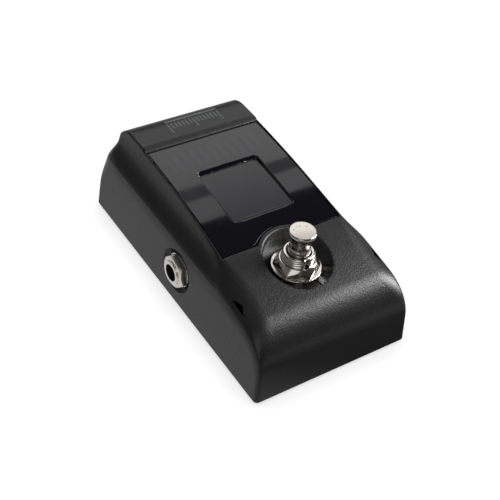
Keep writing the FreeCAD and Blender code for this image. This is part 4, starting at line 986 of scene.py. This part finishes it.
finish_nodes()
casing_shell()
display_window()
footswitch_button()
footswitch_bushing()
nuts()
scale_mark()

# ---------------------------------------------------------------- studio


FLOOR_HALF = 2500
FLOOR_SHADE_REACH = 14.0
ROOM_BRIGHT_WAY = (-0.75, 0.60, -0.25)
ROOM_DIM = 0.045
ROOM_BRIGHT = 0.24
ROOM_SEEN = 1.05                # what shows behind everything, just past white


def floor():
    """Pale floor: clean white to the eye, with a painted soft shadow close to the casing; in reflections and in
    the light it gives off, a glow with a painted shadow band ahead and to the right.
    """
    ways = ((-1, -1), (1, -1), (1, 1), (-1, 1))
    corners = [(FLOOR_HALF * across, FLOOR_HALF * along, 0) for across, along in ways]
    mesh = mesh_from("studio_floor", corners, [(0, 1, 2, 3)])
    sheet = bpy.data.objects.new("studio_floor", mesh)
    bpy.context.scene.collection.objects.link(sheet)
    finish = Finish("floor_paper")
    seen = finish.add("ShaderNodeLightPath", output="Is Camera Ray")
    reach = {"Distance": FLOOR_SHADE_REACH * MM}
    nearness = finish.add("ShaderNodeAmbientOcclusion", {"samples": 8}, reach, "AO")
    # painted contact shadow: to the camera the floor grows darker where the casing is near
    seen_white_with_painted_shadow = finish.ramp(nearness, 0.15, 0.95) * 0.34 + 0.70
    across = finish.axis("X")
    along = finish.axis("Y")
    ahead = across * 0.55 - along * 0.83
    # painted shadow of the casing: a darker band ahead and to the right, shown only in reflections and in the
    # light the floor gives off
    painted_casing_shadow_band = finish.ramp(ahead, 20.0, 60.0) * (1 - finish.ramp(ahead, 95.0, 150.0))
    floor_glow_with_painted_shadow = (1 - painted_casing_shadow_band) * 0.50 + 0.08
    shade = seen * seen_white_with_painted_shadow + (1 - seen) * floor_glow_with_painted_shadow
    shader = finish.add("ShaderNodeEmission", {}, {"Color": shade, "Strength": 1.0}, "Emission")
    finish.add_output(shader)
    mesh.materials.append(finish.material)


def surroundings():
    """White behind everything; for light, a dim room that is brighter at the left and rear."""
    world = bpy.data.worlds.new("studio_room")
    bpy.context.scene.world = world
    room = Nodes(world, "Generated")
    ways = {0: room.place, 1: ROOM_BRIGHT_WAY}
    turned = room.add("ShaderNodeVectorMath", {"operation": "DOT_PRODUCT"}, ways, "Value")
    spread = {"Value": turned, "From Min": -0.5, "From Max": 0.9, "To Min": ROOM_DIM, "To Max": ROOM_BRIGHT}
    light = room.add("ShaderNodeMapRange", {}, spread, "Result")
    seen = room.add("ShaderNodeLightPath", output="Is Camera Ray")
    strength = room.add("ShaderNodeMix", {}, {0: seen, 2: light, 3: ROOM_SEEN})
    back = room.add("ShaderNodeBackground", {}, {"Strength": strength})
    room.add("ShaderNodeOutputWorld", {}, {"Surface": back})


def facing(right, up, back, place):
    """The matrix of a lamp or camera from its own axes and its place."""
    return Matrix(((right[0], up[0], back[0], place[0]), (right[1], up[1], back[1], place[1]),
                   (right[2], up[2], back[2], place[2]), (0, 0, 0, 1)))


def soft_panel(name, centre, aim, width, length, radiance, turn_up=(0, 1, 0)):
    """A rectangular lamp of an even brightness, all in metres."""
    lamp = bpy.data.lights.new(name, "AREA")
    lamp.shape = "RECTANGLE"
    lamp.size = width
    lamp.size_y = length
    lamp.energy = 4 * width * length * radiance
    made = bpy.data.objects.new(name, lamp)
    bpy.context.scene.collection.objects.link(made)
    back = (Vector(centre) - Vector(aim)).normalized()
    right = Vector(turn_up).cross(back).normalized()
    up = back.cross(right)
    made.matrix_world = facing(right, up, back, centre)
    made.visible_camera = False
    return made


floor()
surroundings()
CEILING = 0.90
soft_panel("rear_ceiling_panel", (0.55, 0.955, CEILING), (0.55, 0.955, 0), 1.3, 0.67, 1.15)
soft_panel("middle_ceiling_panel", (0.55, 0.498, CEILING), (0.55, 0.498, 0), 1.3, 0.11, 1.0)
soft_panel("ceiling_between_panels", (0.55, 0.5875, CEILING), (0.55, 0.5875, 0), 1.3, 0.065, 0.33)
soft_panel("front_bounce", (-0.44, -0.53, 0.62), (0, 0, 0.03), 0.75, 0.5, 0.75)
soft_panel("key_softbox", (0.72, -0.20, 0.50), (0, -0.03, 0.02), 0.72, 0.32, 13.0)

# ---------------------------------------------------------------- camera

AZIMUTH = math.radians(-39.23)
ELEVATION = math.radians(42.83)
ROLL = math.radians(9.05)
DISTANCE = 0.4153
TARGET = Vector((7.17, 6.57, 1.5)) * MM

camera = bpy.data.objects.new("camera", bpy.data.cameras.new("camera"))
bpy.context.scene.collection.objects.link(camera)
bpy.context.scene.camera = camera
camera.data.sensor_width = 36.0
camera.data.lens = 76.23
camera.data.clip_start = 0.01
back = Vector((math.sin(AZIMUTH) * math.cos(ELEVATION), -math.cos(AZIMUTH) * math.cos(ELEVATION),
               math.sin(ELEVATION)))
level_right = Vector((0, 0, 1)).cross(back).normalized()
level_up = back.cross(level_right)
right = level_right * math.cos(ROLL) + level_up * math.sin(ROLL)
up = level_up * math.cos(ROLL) - level_right * math.sin(ROLL)
camera.matrix_world = facing(right, up, back, TARGET + back * DISTANCE)

bpy.context.scene.view_settings.view_transform = "Standard"
